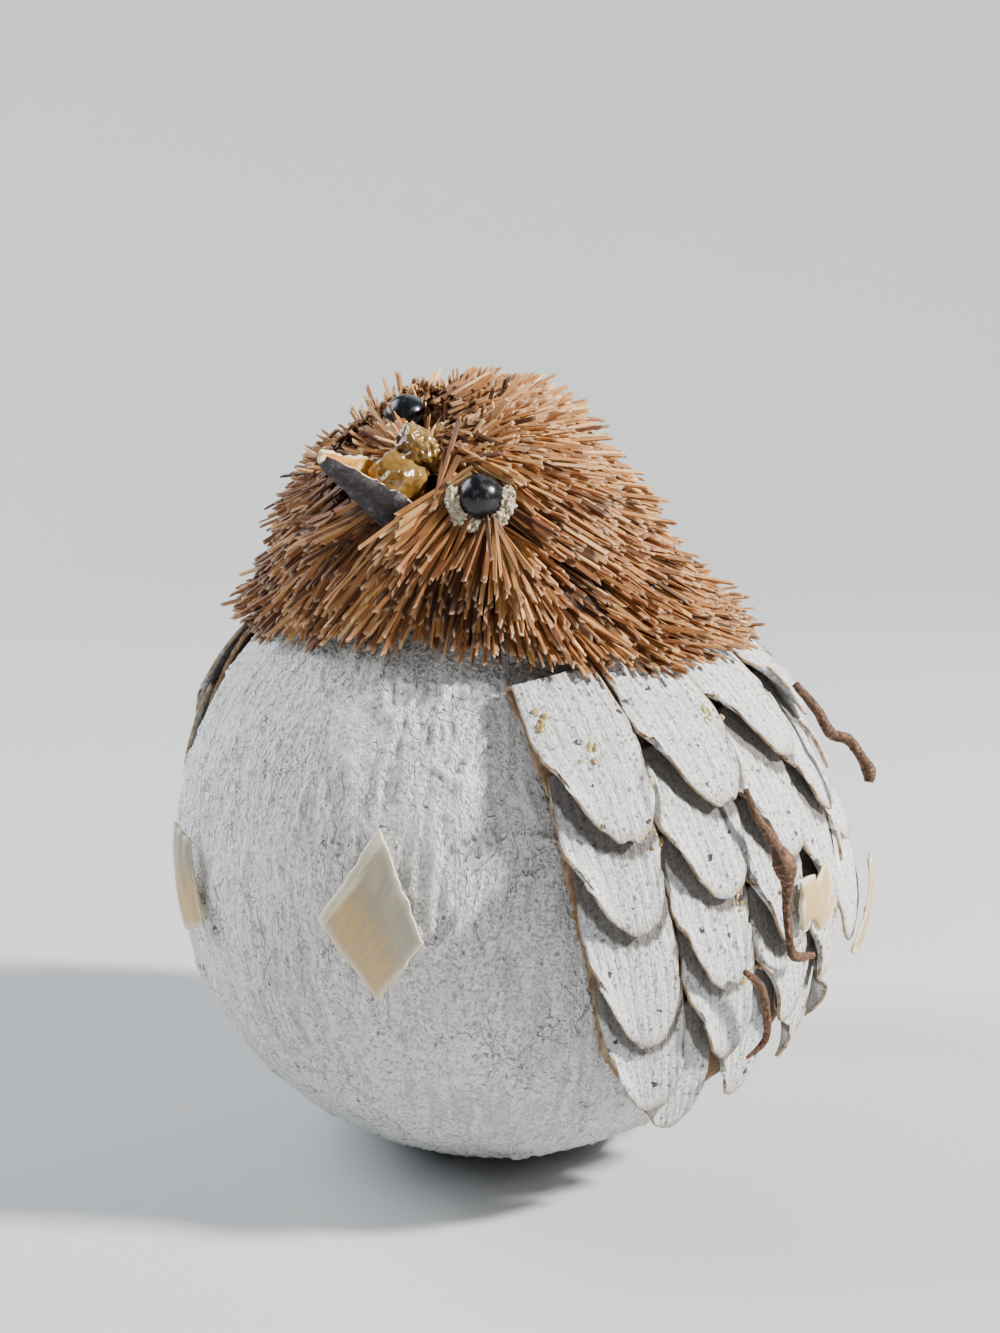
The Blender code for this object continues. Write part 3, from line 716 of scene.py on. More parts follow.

# %% [markdown]
# ## Bark scales
# Each scale is a tongue of thin bark, brushed with chalk paint.  It has ribs along
# its length, paler on their crests as painted highlight, a raw beige edge where it was
# cut, and black specks.  Its root slips under the row above and its tip stands proud,
# so each row throws a shadow on the next one.  On the near wing a near black strip
# lies under the row above: partly bare bark where the paint stops short, partly painted
# shade under the upper scale.  One function maps a fine grid onto one tongue, and small
# changes drawn from a seeded generator keep the scales from looking stamped.

# %% Chalk finish for the scales
def make_chalk_finish():
    """Chalk paint over ribbed bark, specked, stained and worn at the rim; painted highlight
    on the rib crests, bare bark and painted shade under the row above.
    """
    material, tree, shader = new_finish("chalk_on_bark", 0.9)
    place = object_place(tree)
    flat = flat_place(tree)
    relief = painted(tree, "relief")
    edge = painted(tree, "edge")
    streaks = use_group(tree, GRAIN, Place=flat, Across=2.2, Along=0.15)
    mottled = grain_noise(tree, place, 2100.0, 3.0, 0.62)
    shade = coats(
        tree, (0.50, 0.52, 0.545),
        (streaks, 0.40, 0.58, 1.0, (0.76, 0.785, 0.81)),
        (mottled, 0.49, 0.38, 0.85, (0.34, 0.355, 0.38)),
        (mottled, 0.54, 0.62, 0.7, (0.86, 0.87, 0.88)),
        # Paler on the rib crests: painted highlight.
        (relief, 0.1, 0.9, 0.35, (0.80, 0.81, 0.82)))
    dust = use_group(tree, SPECKS, Place=place, Scale=1700.0, Size=0.55, Amount=0.34)
    dots = use_group(tree, SPECKS, Place=place, Scale=800.0, Size=0.40, Amount=0.13)
    blots = use_group(tree, SPECKS, Place=place, Scale=360.0, Size=0.24, Amount=0.06)
    glue = use_group(tree, STAIN, Place=place, Scale=150.0, Level=0.715)
    worn = maths(tree, "MULTIPLY", soft_step(tree, edge, 0.92, 1.0),
                 soft_step(tree, mottled, 0.40, 0.60))
    # Near black strip under the row above: bare bark and painted shade.
    bare = soft_step(tree, relief, -1.2, -4.0)
    for mask, share, colour in (
            (dust, 0.8, (0.15, 0.15, 0.165)), (dots, 1.0, (0.055, 0.055, 0.065)),
            (blots, 1.0, (0.035, 0.035, 0.04)), (glue, 0.7, (0.55, 0.43, 0.16)),
            (worn, 1.0, (0.44, 0.33, 0.20)), (bare, 0.85, (0.085, 0.065, 0.050))):
        shade = coat(tree, shade, mask, share, colour)
    connect(tree, shade, shader.inputs["Base Color"])
    normal = raised(tree, use_group(tree, GRAIN, Place=flat, Across=4.0, Along=0.35),
                    0.00042, 1.0)
    normal = raised(tree, mottled, 0.00030, 1.0, normal)
    connect(tree, normal, shader.inputs["Normal"])
    return material


chalk_finish = make_chalk_finish()
cut_edge_finish = rough_finish(
    "cut_bark_edge", 0.85, (700.0, 3.0),
    ((0.30, (0.16, 0.10, 0.06)), (0.52, (0.36, 0.26, 0.15)), (0.72, (0.55, 0.52, 0.46))),
    0.0001, 0.6)
print(chalk_finish.name, "has", len(chalk_finish.node_tree.nodes), "nodes")

# %% One scale
SHEET_SEAT = 0.0006
BACKING_T = 0.0005
SCALE_SEAT = SHEET_SEAT + BACKING_T + 0.0003
SCALE_T = 0.00042
SCALE_SLOPE = 0.084
SIDE_GAP = 0.0002
RIB_HEIGHT_MM = 0.11
SCALE_COLUMNS = 38
SCALE_LINES = 42


def scale_shape(random_source):
    """The small differences that make one scale its own."""
    return {
        "front_cut": random_source.uniform(0.40, 0.52),
        "rear_cut": random_source.uniform(0.22, 0.32),
        "skew": random_source.uniform(0.10, 0.30),
        "lean": 0.0,
        "tip_lift": random_source.uniform(0.0003, 0.0009),
        "front_lift": random_source.uniform(0.0006, 0.0018),
        "cup": random_source.uniform(-0.0003, 0.0002),
        "ribs": random_source.uniform(7.0, 9.5),
        "seed": random_source.uniform(0.0, 90.0),
    }


def calmer(shape):
    """The same scale pressed flat, for the sides where the solids leave no room."""
    shape["tip_lift"] = 0.0003
    shape["front_lift"] = 0.0002
    return shape


def scale_point(across, along, azimuth, half_angle, root, tip, shape):
    """Spot on one tongue, its relief and how near the edge it lies."""
    ragged = 0.020 * ripple(across * 5.0, along * 9.0, shape["seed"])
    fore = max(0.0, (shape["skew"] - across) / (1.0 + shape["skew"]))
    aft = max(0.0, (across - shape["skew"]) / (1.0 - shape["skew"]))
    cut = shape["front_cut"] * fore ** 2.3 + shape["rear_cut"] * aft ** 2.6
    reach = along * (1.0 + ragged) - cut * along ** 2.2
    latitude = root + (tip - root) * reach
    width = smoothstep(-1.6, 0.4, along) * (1.0 - 0.16 * smoothstep(0.6, 1.0, along))
    width *= 1.0 + 0.04 * ripple(along * 6.0, shape["seed"], across)
    place_azimuth = azimuth + across * width * half_angle
    place_azimuth += shape["lean"] * smoothstep(0.9, -1.0, across) * (1.0 - along) ** 2
    arc = (root - latitude) * DEGREE * BALL_R
    wander = ripple(across * 2.0, along * 1.6, shape["seed"] + 5.0)
    rib = 0.5 + 0.5 * cos((across * shape["ribs"] + wander) * pi)
    rib *= smoothstep(1.0, 0.93, max(abs(across), along))
    height = SCALE_SEAT + SCALE_SLOPE * arc
    height += shape["tip_lift"] * smoothstep(0.6, 1.0, along)
    forward = smoothstep(-0.2, -1.0, across) * smoothstep(0.4, 0.9, along)
    height += shape["front_lift"] * forward
    height += shape["cup"] * across * across * along
    height += RIB_HEIGHT_MM * MM * rib
    height += 0.00012 * ripple(across * 3.0, along * 4.0, shape["seed"])
    edge = max(abs(across), along)
    return place_azimuth, latitude, height, rib, edge


def bare_bark_and_shade(number, turned, latitude):
    """How far a spot lies in the strip under the row above: bare bark and painted shade."""
    if number == 0:
        return 0.0
    above, root, tip, first, step = SCALE_ROWS[number - 1]
    across = ((turned - first) / step + 0.5) % 1.0 * 2.0 - 1.0
    fore = max(0.0, (0.2 - across) / 1.2)
    aft = max(0.0, (across - 0.2) / 0.8)
    edge = tip + (root - tip) * (0.46 * fore ** 2.3 + 0.27 * aft ** 2.6)
    if above in LONG_FIRST_ROWS and turned < first + step / 2.0:
        edge -= FIRST_SCALE_DROP
    return smoothstep(3.4, 0.6, (edge - latitude) * DEGREE * BALL_R / MM)


def lay_scale(bm, side, azimuth, step, root, tip, shape, number=0):
    """Add one tongue of the row with this number to a bmesh."""
    widest = BALL_R * cos(radians((root + tip) / 2.0))
    half_angle = (step - SIDE_GAP / widest / DEGREE) / 2.0

    def point(across, along):
        turned, latitude, height, rib, edge = scale_point(
            across, along, azimuth, half_angle, root, tip, shape)
        # The relief value also carries the bare bark and painted shade under the row above.
        relief = rib - 6.0 * bare_bark_and_shade(number, turned, latitude)
        return on_body(wing_direction(side * turned, latitude), height), relief, edge

    size = (2.0 * half_angle * DEGREE * widest / MM, (root - tip) * DEGREE * BALL_R / MM)
    faces = map_grid(bm, SCALE_COLUMNS, SCALE_LINES, point, size)
    if side < 0:
        bmesh.ops.reverse_faces(bm, faces=faces)


def finish_scales(bm, node):
    """Bark piece of one or more tongues, with its cut rim, in place of its solid."""
    piece = finish_mesh(bm, "bark_" + node, chalk_finish, cut_edge_finish)
    thicken(piece, SCALE_T, rim_material=1)
    settle(piece, "chalky_bark", node)


# %% Both wings
# Each row: letter, latitudes of roots and tips, azimuth of the first scale, step.
SCALE_ROWS = (
    ("a", 46.5, 19.3, 62.4, 18.3),
    ("b", 31.5, 6.3, 60.9, 15.8),
    ("c", 18.5, -7.5, 60.6, 14.2),
    ("d", 5.0, -21.0, 61.0, 14.0),
    ("e", -8.5, -34.0, 66.0, 15.0),
)
LONG_FIRST_ROWS = "cd"
FIRST_SCALE_DROP = 4.6
FIRST_SCALE_LEAN = -2.6
COLUMNS_EACH_SIDE = 4
RIGHT_WING_BACK = 12.0


def make_wing(side_name, side, random_source):
    """Rows of separate scales; the right wing starts further back."""
    for number, (row, root, tip, first, step) in enumerate(SCALE_ROWS):
        if side < 0:
            narrower = RIGHT_WING_BACK / COLUMNS_EACH_SIDE
            first += RIGHT_WING_BACK - narrower / 2.0
            step -= narrower
        for column in range(COLUMNS_EACH_SIDE):
            drop = FIRST_SCALE_DROP if column == 0 and row in LONG_FIRST_ROWS else 0.0
            shape = scale_shape(random_source)
            shape["lean"] = FIRST_SCALE_LEAN if column == 0 and row == "a" else 0.0
            if side < 0:
                calmer(shape)
            bm = bmesh.new()
            shown = number if side > 0 else 0
            lay_scale(bm, side, first + step * column, step, root, tip - drop, shape, shown)
            finish_scales(bm, "scale_%s_%s%d" % (side_name, row, column + 1))


make_wing("left", 1.0, random.Random(11))
make_wing("right", -1.0, random.Random(12))
print("wings:", 2 * COLUMNS_EACH_SIDE * len(SCALE_ROWS), "scales")

# %% Scales across the back and over the tail
BACK_GAP = 0.6


def make_back_row(row, root, tip, first, step, random_source):
    """The tongues of one row that lie between the wings, as one piece."""
    last = first + step * (COLUMNS_EACH_SIDE - 0.5)
    half_angle = 180.0 - last - BACK_GAP
    tongues = max(2, round(2.0 * half_angle / step))
    width = 2.0 * half_angle / tongues
    bm = bmesh.new()
    for number in range(tongues):
        azimuth = last + BACK_GAP + width * (number + 0.5)
        shape = calmer(scale_shape(random_source))
        lay_scale(bm, 1.0, azimuth, width, root, tip, shape)
    finish_scales(bm, "scales_back_" + row)
    return tongues


back_random = random.Random(13)
print("back rows:", [make_back_row(*row, back_random) for row in SCALE_ROWS])

# %% [markdown]
# ## Backing sheets
# Under each wing lies a sheet of brown fibrous bark or felt.  Only its torn front
# edge shows, as a thin brown line beside the first scales.  It is one more mapped
# grid, whose front edge wanders and is ragged.

# %% Backing finish
backing_finish = rough_finish(
    "felted_fibre", 0.95, (800.0, 5.0, 0.7),
    ((0.30, (0.10, 0.055, 0.03)), (0.50, (0.27, 0.165, 0.09)),
     (0.66, (0.42, 0.30, 0.19)), (0.80, (0.62, 0.55, 0.46))),
    0.0003, 0.9, squeeze=(1.0, 1.0, 0.5))
print(backing_finish.name)

# %% Torn sheets
BACKING_TOP = 47.0
BACKING_LOW = -33.0
BACKING_REAR = 128.0
BACKING_SIZE_MM = (58.0, 61.0)
BACKING_GRID = (90, 160)


def backing_front(latitude):
    """Azimuth of the torn front edge."""
    top = max(0.0, latitude - 25.0) / 16.0
    low = max(0.0, -9.5 - latitude) / 16.0
    return 53.3 - 1.6 * top ** 2 + 5.3 * low ** 1.7


def make_backing(side_name, side):
    """Sheet with a ragged front edge under one wing."""
    set_back = RIGHT_WING_BACK if side < 0 else 0.0

    def point(across, along):
        latitude = BACKING_TOP - along * (BACKING_TOP - BACKING_LOW)
        torn = 0.5 * ripple(latitude * 0.16, side * 3.0, 0.0)
        torn += 0.7 * ripple(latitude * 0.9, side * 5.0, 2.0)
        torn += 0.3 * ripple(latitude * 2.3, side * 5.0, 6.0)
        front = backing_front(latitude) + set_back + 0.8 * smoothstep(14.0, -4.0, latitude)
        front += torn * smoothstep(0.0, -1.0, across)
        azimuth = front + (across + 1.0) / 2.0 * (BACKING_REAR - front)
        rough = ripple(latitude * 0.8, azimuth * 0.8, 4.0)
        height = SHEET_SEAT - 0.0002 + 0.00015 * rough
        return on_body(wing_direction(side * azimuth, latitude), height), rough, 0.0

    piece = make_sheet(
        "backing_" + side_name, backing_finish, *BACKING_GRID, point, BACKING_SIZE_MM,
        BACKING_T, flip=side < 0)
    settle(piece, "brown_backing", "wing_backing_" + side_name)


make_backing("left", 1.0)
make_backing("right", -1.0)
print("two backing sheets")

# %% [markdown]
# ## Straw thatch
# The head is a thick thatch of flat cut strips.  They radiate from a whorl between
# the eyes, and lower down from the near eye.  They are swept over the crown and down
# to the ball, and their cut ends show everywhere.  Real strips are real geometry
# here: each of about nine thousand is a small flat bar, laid on the head's outline
# with its root sunk into a near black bed, which is painted shade deep in the thatch.
# Their colour comes from a tone painted on each: the straw's own mix of colours, paler
# towards the crown partly as painted light, darkened low on the front and right of the
# head as painted shade, and each strip darker towards its root as painted shade.

# %% Straw finishes
def make_straw_finish():
    """Dry grass: beige to red brown streaked strips, pale cut tips, painted shade towards
    the roots.
    """
    material, tree, shader = new_finish("cut_straw", 0.62)
    flat = flat_place(tree)
    tone = painted(tree, "tone")
    streaks = use_group(tree, GRAIN, Place=flat, Across=9.0, Along=0.6)
    value = maths(tree, "ADD", tone, maths(
        tree, "MULTIPLY", maths(tree, "SUBTRACT", streaks, 0.5), 0.55))
    shade = colour_ramp(tree, value, (
        (0.05, (0.060, 0.018, 0.005)), (0.28, (0.225, 0.082, 0.024)),
        (0.50, (0.40, 0.175, 0.052)), (0.72, (0.57, 0.318, 0.120)),
        (0.95, (0.73, 0.500, 0.260))))
    along = painted(tree, "along")
    # Paler at the cut tip, its own colour; darker towards the root, painted shade deep in
    # the thatch.
    shade = coats(
        tree, shade,
        (along, 0.93, 1.0, 0.45, (0.72, 0.50, 0.30)),
        (along, 0.55, 0.0, 0.7, (0.06, 0.025, 0.012)))
    connect(tree, shade, shader.inputs["Base Color"])
    connect(tree, raised(tree, streaks, 0.00008, 0.7), shader.inputs["Normal"])
    shader.inputs["Specular IOR Level"].default_value = 0.35
    return material


straw_finish = make_straw_finish()
# The bed is near black: painted shade deep among the roots.
bed_shade_finish = rough_finish(
    "straw_roots_shade", 0.9, (900.0, 4.0),
    ((0.35, (0.008, 0.004, 0.003)), (0.65, (0.050, 0.022, 0.010))), 0.0006, 1.0)
print(straw_finish.name, bed_shade_finish.name)

# %% The outline of the head
HEAD_CENTRE = Vector((0.002, -0.010, 0.0815))
HEAD_R = 0.0240
HEAD_RISE = 0.0258
HEAD_CORE = Vector((0.001, -0.008, 0.090))
FACE_WAY = direction(-4.0, 44.0)
FACE_HOLLOW = 0.0042
SKIRT_LATITUDE = 43.5
SKIRT_T = 0.0014
SKIRT_FLARE_HEIGHT = 0.028
SKIRT_FLARE_POWER = 3.0
SKIRT_OVER_ROOTS = 6.0
TOP_ROOT_LATITUDE = 46.5


def skirt_latitude(azimuth):
    """Lower edge of the thatch: low over the flanks, higher at the nape."""
    flank = sin(radians(azimuth)) ** 4
    nape = smoothstep(105.0, 170.0, abs(azimuth))
    teeth = 1.5 * sin(azimuth * DEGREE * 11.0) * cos(azimuth * DEGREE * 7.0)
    return SKIRT_LATITUDE - 3.6 * flank + 10.0 * nape + teeth


def skirt_edge(azimuth):
    """Outer corner of the thatch's lower edge, over bare paper or over the scales."""
    way = direction(azimuth, skirt_latitude(azimuth))
    leaned = WING_LEAN.inverted() @ way
    latitude = asin(leaned.z) / DEGREE
    turned = abs(atan2(leaned.x, -leaned.y)) / DEGREE
    past_root = max(TOP_ROOT_LATITUDE - latitude, 0.0) + SKIRT_OVER_ROOTS
    over_wing = SCALE_SEAT + SCALE_SLOPE * past_root * DEGREE * BALL_R + SCALE_T + 0.0004
    cover = smoothstep(64.0, 55.0, latitude) * smoothstep(40.0, 48.0, turned)
    return on_body(way, SHEET_SEAT + (over_wing - SHEET_SEAT) * cover + SKIRT_T)


def inside_thatch(spot, edge):
    """Whether a point lies in the plain outline, with the skirt's edge below it."""
    rise = max(spot.z - HEAD_CENTRE.z, 0.0)
    if rise >= HEAD_RISE:
        return False
    low = min(max(1.0 - (spot.z - edge.z) / SKIRT_FLARE_HEIGHT, 0.0), 1.0)
    low **= SKIRT_FLARE_POWER
    crown = HEAD_R * sqrt(1.0 - (rise / HEAD_RISE) ** 2)
    half_width = crown * (1.0 - low) + edge.xy.length * low
    from_axis = spot.xy - HEAD_CENTRE.xy * (1.0 - low)
    return from_axis.length < half_width


EDGE_STEPS = 180
EDGES = [skirt_edge(360.0 * step / EDGE_STEPS - 180.0) for step in range(EDGE_STEPS)]


def head_spot(azimuth, share):
    """Point of the outline, from the face (share 0) to the skirt's edge (share 1)."""
    to_edge = EDGES[round((azimuth + 180.0) / 360.0 * EDGE_STEPS) % EDGE_STEPS] - HEAD_CORE
    way = FACE_WAY.slerp(to_edge.normalized(), share)
    near, far = 0.0, 0.06
    for _ in range(16):
        middle = (near + far) / 2.0
        spot = HEAD_CORE + way * middle
        turned = atan2(spot.x, -spot.y) / DEGREE
        edge = EDGES[round((turned + 180.0) / 360.0 * EDGE_STEPS) % EDGE_STEPS]
        if inside_thatch(spot, edge):
            near = middle
        else:
            far = middle
    near -= FACE_HOLLOW * smoothstep(0.6, 0.95, way.dot(FACE_WAY))
    return HEAD_CORE + way * near


SECTORS = 90
RINGS = 36
OUTLINE = [
    [head_spot(360.0 * sector / SECTORS - 180.0, ring / RINGS) for ring in range(RINGS + 1)]
    for sector in range(SECTORS)
]
print("head outline kept at", SECTORS * (RINGS + 1), "spots")

# %% Where the eyes and the beak sit
EYE_R = 0.0029
EYE_LEFT = Vector((0.0173, -0.0236, 0.0917))
EYE_RIGHT = Vector((-0.0016, -0.0164, 0.1003))
WHORL = Vector((0.0065, -0.0212, 0.0946))
BEAK_BASE = Vector((0.0073, -0.0273, 0.0930))
BEAK_LENGTH = 0.0112
BEAK_BASE_R = 0.0054
BEAK_TIP_R = 0.0007
BEAK_T = 0.0008
BEAK_ROOT = 0.0020
BEAK_AXIS = direction(-11.0, 20.0)
BEAK_ROLL = -2.0


def beak_frame():
    """Matrix with the beak's axis as its Z and the open side of the cone as its Y."""
    left = Vector((0.0, 0.0, 1.0)).cross(BEAK_AXIS).normalized()
    rotation = Matrix((left, BEAK_AXIS.cross(left), BEAK_AXIS)).transposed()
    roll = Matrix.Rotation(radians(BEAK_ROLL), 3, "Z")
    return Matrix.Translation(BEAK_BASE) @ (rotation @ roll).to_4x4()


BEAK_FRAME = beak_frame()
INTO_BEAK = BEAK_FRAME.inverted()


def beak_radius(along):
    """Radius of the cone at a distance along the axis, base at 0."""
    share = min(max(along / BEAK_LENGTH, 0.0), 1.0)
    return BEAK_TIP_R + (BEAK_BASE_R - BEAK_TIP_R) * (1.0 - share) ** 0.8


EYE_CLEARANCE = 0.0002
CRUST_CLEARANCE = 0.0016
FAR_EYE_SHOWN = 0.7
GLUE_POOL = Vector((0.0080, -0.0247, 0.0972))
GLUE_POOL_R = 0.0029
KEPT_CLEAR = (
    (EYE_LEFT, EYE_R + EYE_CLEARANCE),
    (EYE_RIGHT, FAR_EYE_SHOWN * EYE_R),
    (GLUE_POOL, GLUE_POOL_R),
)


def in_the_way(spot):
    """Whether a strip at this spot would run through a bead, the glue or the beak."""
    if any((spot - centre).length < radius for centre, radius in KEPT_CLEAR):
        return True
    low = spot.z < EYE_LEFT.z + 0.001
    if low and (spot - EYE_LEFT).length < EYE_R + CRUST_CLEARANCE:
        return True
    local = INTO_BEAK @ spot
    if -0.003 < local.z < BEAK_LENGTH:
        return local.xy.length < beak_radius(local.z) + 0.0003
    return False


print("whorl at", [round(value / MM, 1) for value in WHORL])

# %% Strips of straw
STRAWS_PER_MM2 = 1.65
STRAW_LENGTH_MM = (7.0, 12.0)
STRAW_WIDTH = 0.00054
STRAW_T = 0.00026
STRAW_LIFT = (15.0, 24.0)
CROWN_LIFT = 10.0
STRAW_DEPTH_MM = (-1.7, 0.1)
STRAY_OUT_MM = (0.8, 2.4)
STRAY_LIFT = 14.0
BARE_BELOW = -0.34
BARE_SHARE = 0.7
BARE_OVER_Z = 0.080
TONE_LOW = 0.32
TONE_RISE = 0.18
TONE_SPREAD = 0.20
SHADED_DARKER = 0.13
BATCH = 200
STRAW_TOP = cad_box[1][2] - 0.0005


def outline_place(sector, ring):
    """Point and outward normal between four neighbours of the kept outline."""
    low_sector, low_ring = int(sector), min(int(ring), RINGS - 1)
    turn, climb = sector - low_sector, ring - low_ring
    here = OUTLINE[low_sector % SECTORS]
    there = OUTLINE[(low_sector + 1) % SECTORS]
    first = here[low_ring].lerp(here[low_ring + 1], climb)
    second = there[low_ring].lerp(there[low_ring + 1], climb)
    down = (here[low_ring + 1] - here[low_ring]) + (there[low_ring + 1] - there[low_ring])
    spot = first.lerp(second, turn)
    side = second - first
    if side.length < 1e-6:
        return spot, (spot - HEAD_CORE).normalized()
    normal = side.cross(down).normalized()
    normal *= 1.0 if normal.dot(spot - HEAD_CORE) > 0.0 else -1.0
    return spot, normal


def straw_flow(spot, normal):
    """Direction of the strips along the surface: away from the whorl and down."""
    away = spot - WHORL.lerp(EYE_LEFT, 0.9 * smoothstep(0.096, 0.086, spot.z))
    near = smoothstep(0.004, 0.016, away.length) * smoothstep(0.100, 0.086, spot.z)
    flow = away.normalized() + Vector((0.0, 0.0, -0.25 * near))
    lean = noise.noise(spot * 120.0) * 0.45
    flow += normal.cross(flow) * lean
    flow -= normal * flow.dot(normal)
    return flow.normalized()


def straw_bars(random_source):
    """Root, tip, face direction and tone of every strip."""
    bars = []
    for sector in range(SECTORS):
        for ring in range(RINGS):
            here, there = OUTLINE[sector], OUTLINE[(sector + 1) % SECTORS]
            wide = (here[ring + 1] - there[ring + 1]).length
            wide += (here[ring] - there[ring]).length
            area = wide / 2.0 * (here[ring + 1] - here[ring]).length / MM ** 2
            wanted = area * STRAWS_PER_MM2
            count = int(wanted) + (random_source.random() < wanted - int(wanted))
            for _ in range(count):
                place = (sector + random_source.random(), ring + random_source.random())
                bars.append(straw_bar(place, random_source))
    return [bar for bar in bars if bar]


def straw_bar(place, random_source):
    """One strip from its place on the outline, or nothing where it would be in the way."""
    spot, normal = outline_place(*place)
    flow = straw_flow(spot, normal)
    crown = smoothstep(0.090, 0.104, spot.z)
    length = random_source.uniform(*STRAW_LENGTH_MM) * MM
    lift = radians(random_source.uniform(*STRAW_LIFT) + CROWN_LIFT * crown)
    clump = noise.noise(spot * 150.0)
    if clump < BARE_BELOW and random_source.random() < BARE_SHARE and spot.z > BARE_OVER_Z:
        return None
    clump *= 1.5 * MM
    sunk = random_source.uniform(*STRAW_DEPTH_MM) * MM - 0.8 * MM * crown
    tip = spot + normal * (clump + sunk)
    stray = random_source.random()
    if stray > 0.93 - 0.10 * crown:
        tip += normal * random_source.uniform(*STRAY_OUT_MM) * MM
        lift += radians(STRAY_LIFT)
    azimuth = atan2(spot.x, -spot.y) / DEGREE
    low = smoothstep(0.084, 0.076, spot.z)
    low *= 1.0 + smoothstep(30.0, 50.0, azimuth) * smoothstep(95.0, 75.0, azimuth)
    tip += flow * (random_source.uniform(-1.0, 1.6) + 1.1 * low) * MM
    tip.z = min(tip.z, STRAW_TOP)
    root = tip - flow * length * cos(lift) - normal * length * sin(lift)
    if any(in_the_way(root.lerp(tip, share)) for share in (0.35, 0.6, 0.8, 1.0)):
        return None
    twist = random_source.uniform(-0.7, 0.7)
    face = normal + flow.cross(normal) * twist
    # The tone mixes the straw's own colours, paler towards the crown partly as painted
    # light; low on the front and right of the head it is darkened as painted shade.
    height = smoothstep(0.075, 0.105, spot.z)
    tone = TONE_LOW + TONE_RISE * height + random_source.gauss(0.0, TONE_SPREAD)
    tone += clump / MM * 0.14
    shaded = smoothstep(15.0, -30.0, azimuth) * smoothstep(0.100, 0.090, spot.z)
    return root, tip, face, tone - SHADED_DARKER * shaded


def make_straws(name, bars, random_source):
    """Flat bars, a batch at a time, gathered in one mesh."""
    gathered = bmesh.new()
    for start in range(0, len(bars), BATCH):
        bm = bmesh.new()
        tone_layer = bm.verts.layers.float.new("tone")
        along_layer = bm.verts.layers.float.new("along")
        flat = bm.loops.layers.uv.new("flat")
        for root, tip, face, tone in bars[start:start + BATCH]:
            add_bar(bm, root, tip, face, tone, tone_layer, along_layer, flat, random_source)
        gather(gathered, bm)
    return finish_mesh(gathered, name, straw_finish, smooth=False)


def add_bar(bm, root, tip, face, tone, tone_layer, along_layer, flat, random_source):
    """One flat bar with its painted values and its flat map."""
    axis = tip - root
    length = axis.length
    axis.normalize()
    side = axis.cross(face).normalized()
    turn = Matrix((side, side.cross(axis), axis)).transposed().to_4x4()
    width = STRAW_WIDTH * random_source.uniform(0.65, 1.3)
    size = Matrix.Diagonal((width, STRAW_T * random_source.uniform(0.8, 1.4), length, 1.0))
    made = bmesh.ops.create_cube(bm, size=1.0)
    shift = random_source.uniform(0.0, 60.0)
    slant = random_source.uniform(-0.08, 0.08)
    place = Matrix.Translation((root + tip) / 2.0) @ turn @ size
    for face_made in {one for vert in made["verts"] for one in vert.link_faces}:
        for loop in face_made.loops:
            local = loop.vert.co
            loop[flat].uv = (local.x * width / MM + shift, local.z * length / MM)
    for vert in made["verts"]:
        vert[tone_layer] = tone
        vert[along_layer] = vert.co.z + 0.5
        taper = 0.8 if vert.co.z > 0.0 else 1.0
        local = Vector((vert.co.x * taper, vert.co.y, vert.co.z))
        local.z += slant * vert.co.x if vert.co.z > 0.0 else 0.0
        vert.co = place @ local


bars = straw_bars(random.Random(21))
straw_random = random.Random(22)
half = len(bars) // 2
for name, part in (("straw_strips_right", bars[:half]), ("straw_strips_left", bars[half:])):
    strips = make_straws(name, part, straw_random)
    settle(strips, "cut_straw", "straw_head")
print("straw strips:", len(bars))

# %% The dark bed under the strips
BED_DEPTH = 0.0036


def make_straw_bed():
    """Closed form a little inside the outline, where the roots are glued; near black as
    painted shade deep in the thatch.
    """
    bm = bmesh.new()
    rings = RINGS + 4
    bmesh.ops.create_uvsphere(bm, u_segments=SECTORS, v_segments=rings, radius=1.0)
    bm.verts.ensure_lookup_table()
    last = RINGS - 1
    for vert in bm.verts:
        polar = atan2(sqrt(vert.co.x ** 2 + vert.co.y ** 2), vert.co.z) / pi * rings
        turned = atan2(vert.co.x, -vert.co.y) / (2.0 * pi) * SECTORS + SECTORS / 2.0
        if polar <= last:
            spot, normal = outline_place(turned % SECTORS, polar * (last - 2) / last)
            shallow = 0.5 + 0.5 * smoothstep(last, last - 5, polar)
            vert.co = spot - normal * BED_DEPTH * shallow
        else:
            share = (polar - last) / 5.0
            spot, _ = outline_place(turned % SECTORS, last - 2)
            under = BALL_CENTRE + (spot - BALL_CENTRE).normalized() * (BALL_R + 0.0004)
            vert.co = under.lerp(BALL_CENTRE + Vector((0.0, 0.0, BALL_R)), share)
    bmesh.ops.recalc_face_normals(bm, faces=bm.faces[:])
    return finish_mesh(bm, "straw_bed", bed_shade_finish)


straw_bed = make_straw_bed()
settle(straw_bed, "cut_straw", "straw_head")
print("bed:", len(straw_bed.data.polygons), "faces")

# %% [markdown]
# ## Eyes
# The eyes are glossy black beads about six millimetres wide.  A fine sphere does,
# with a thin film of dust on top that dulls the gloss in places.

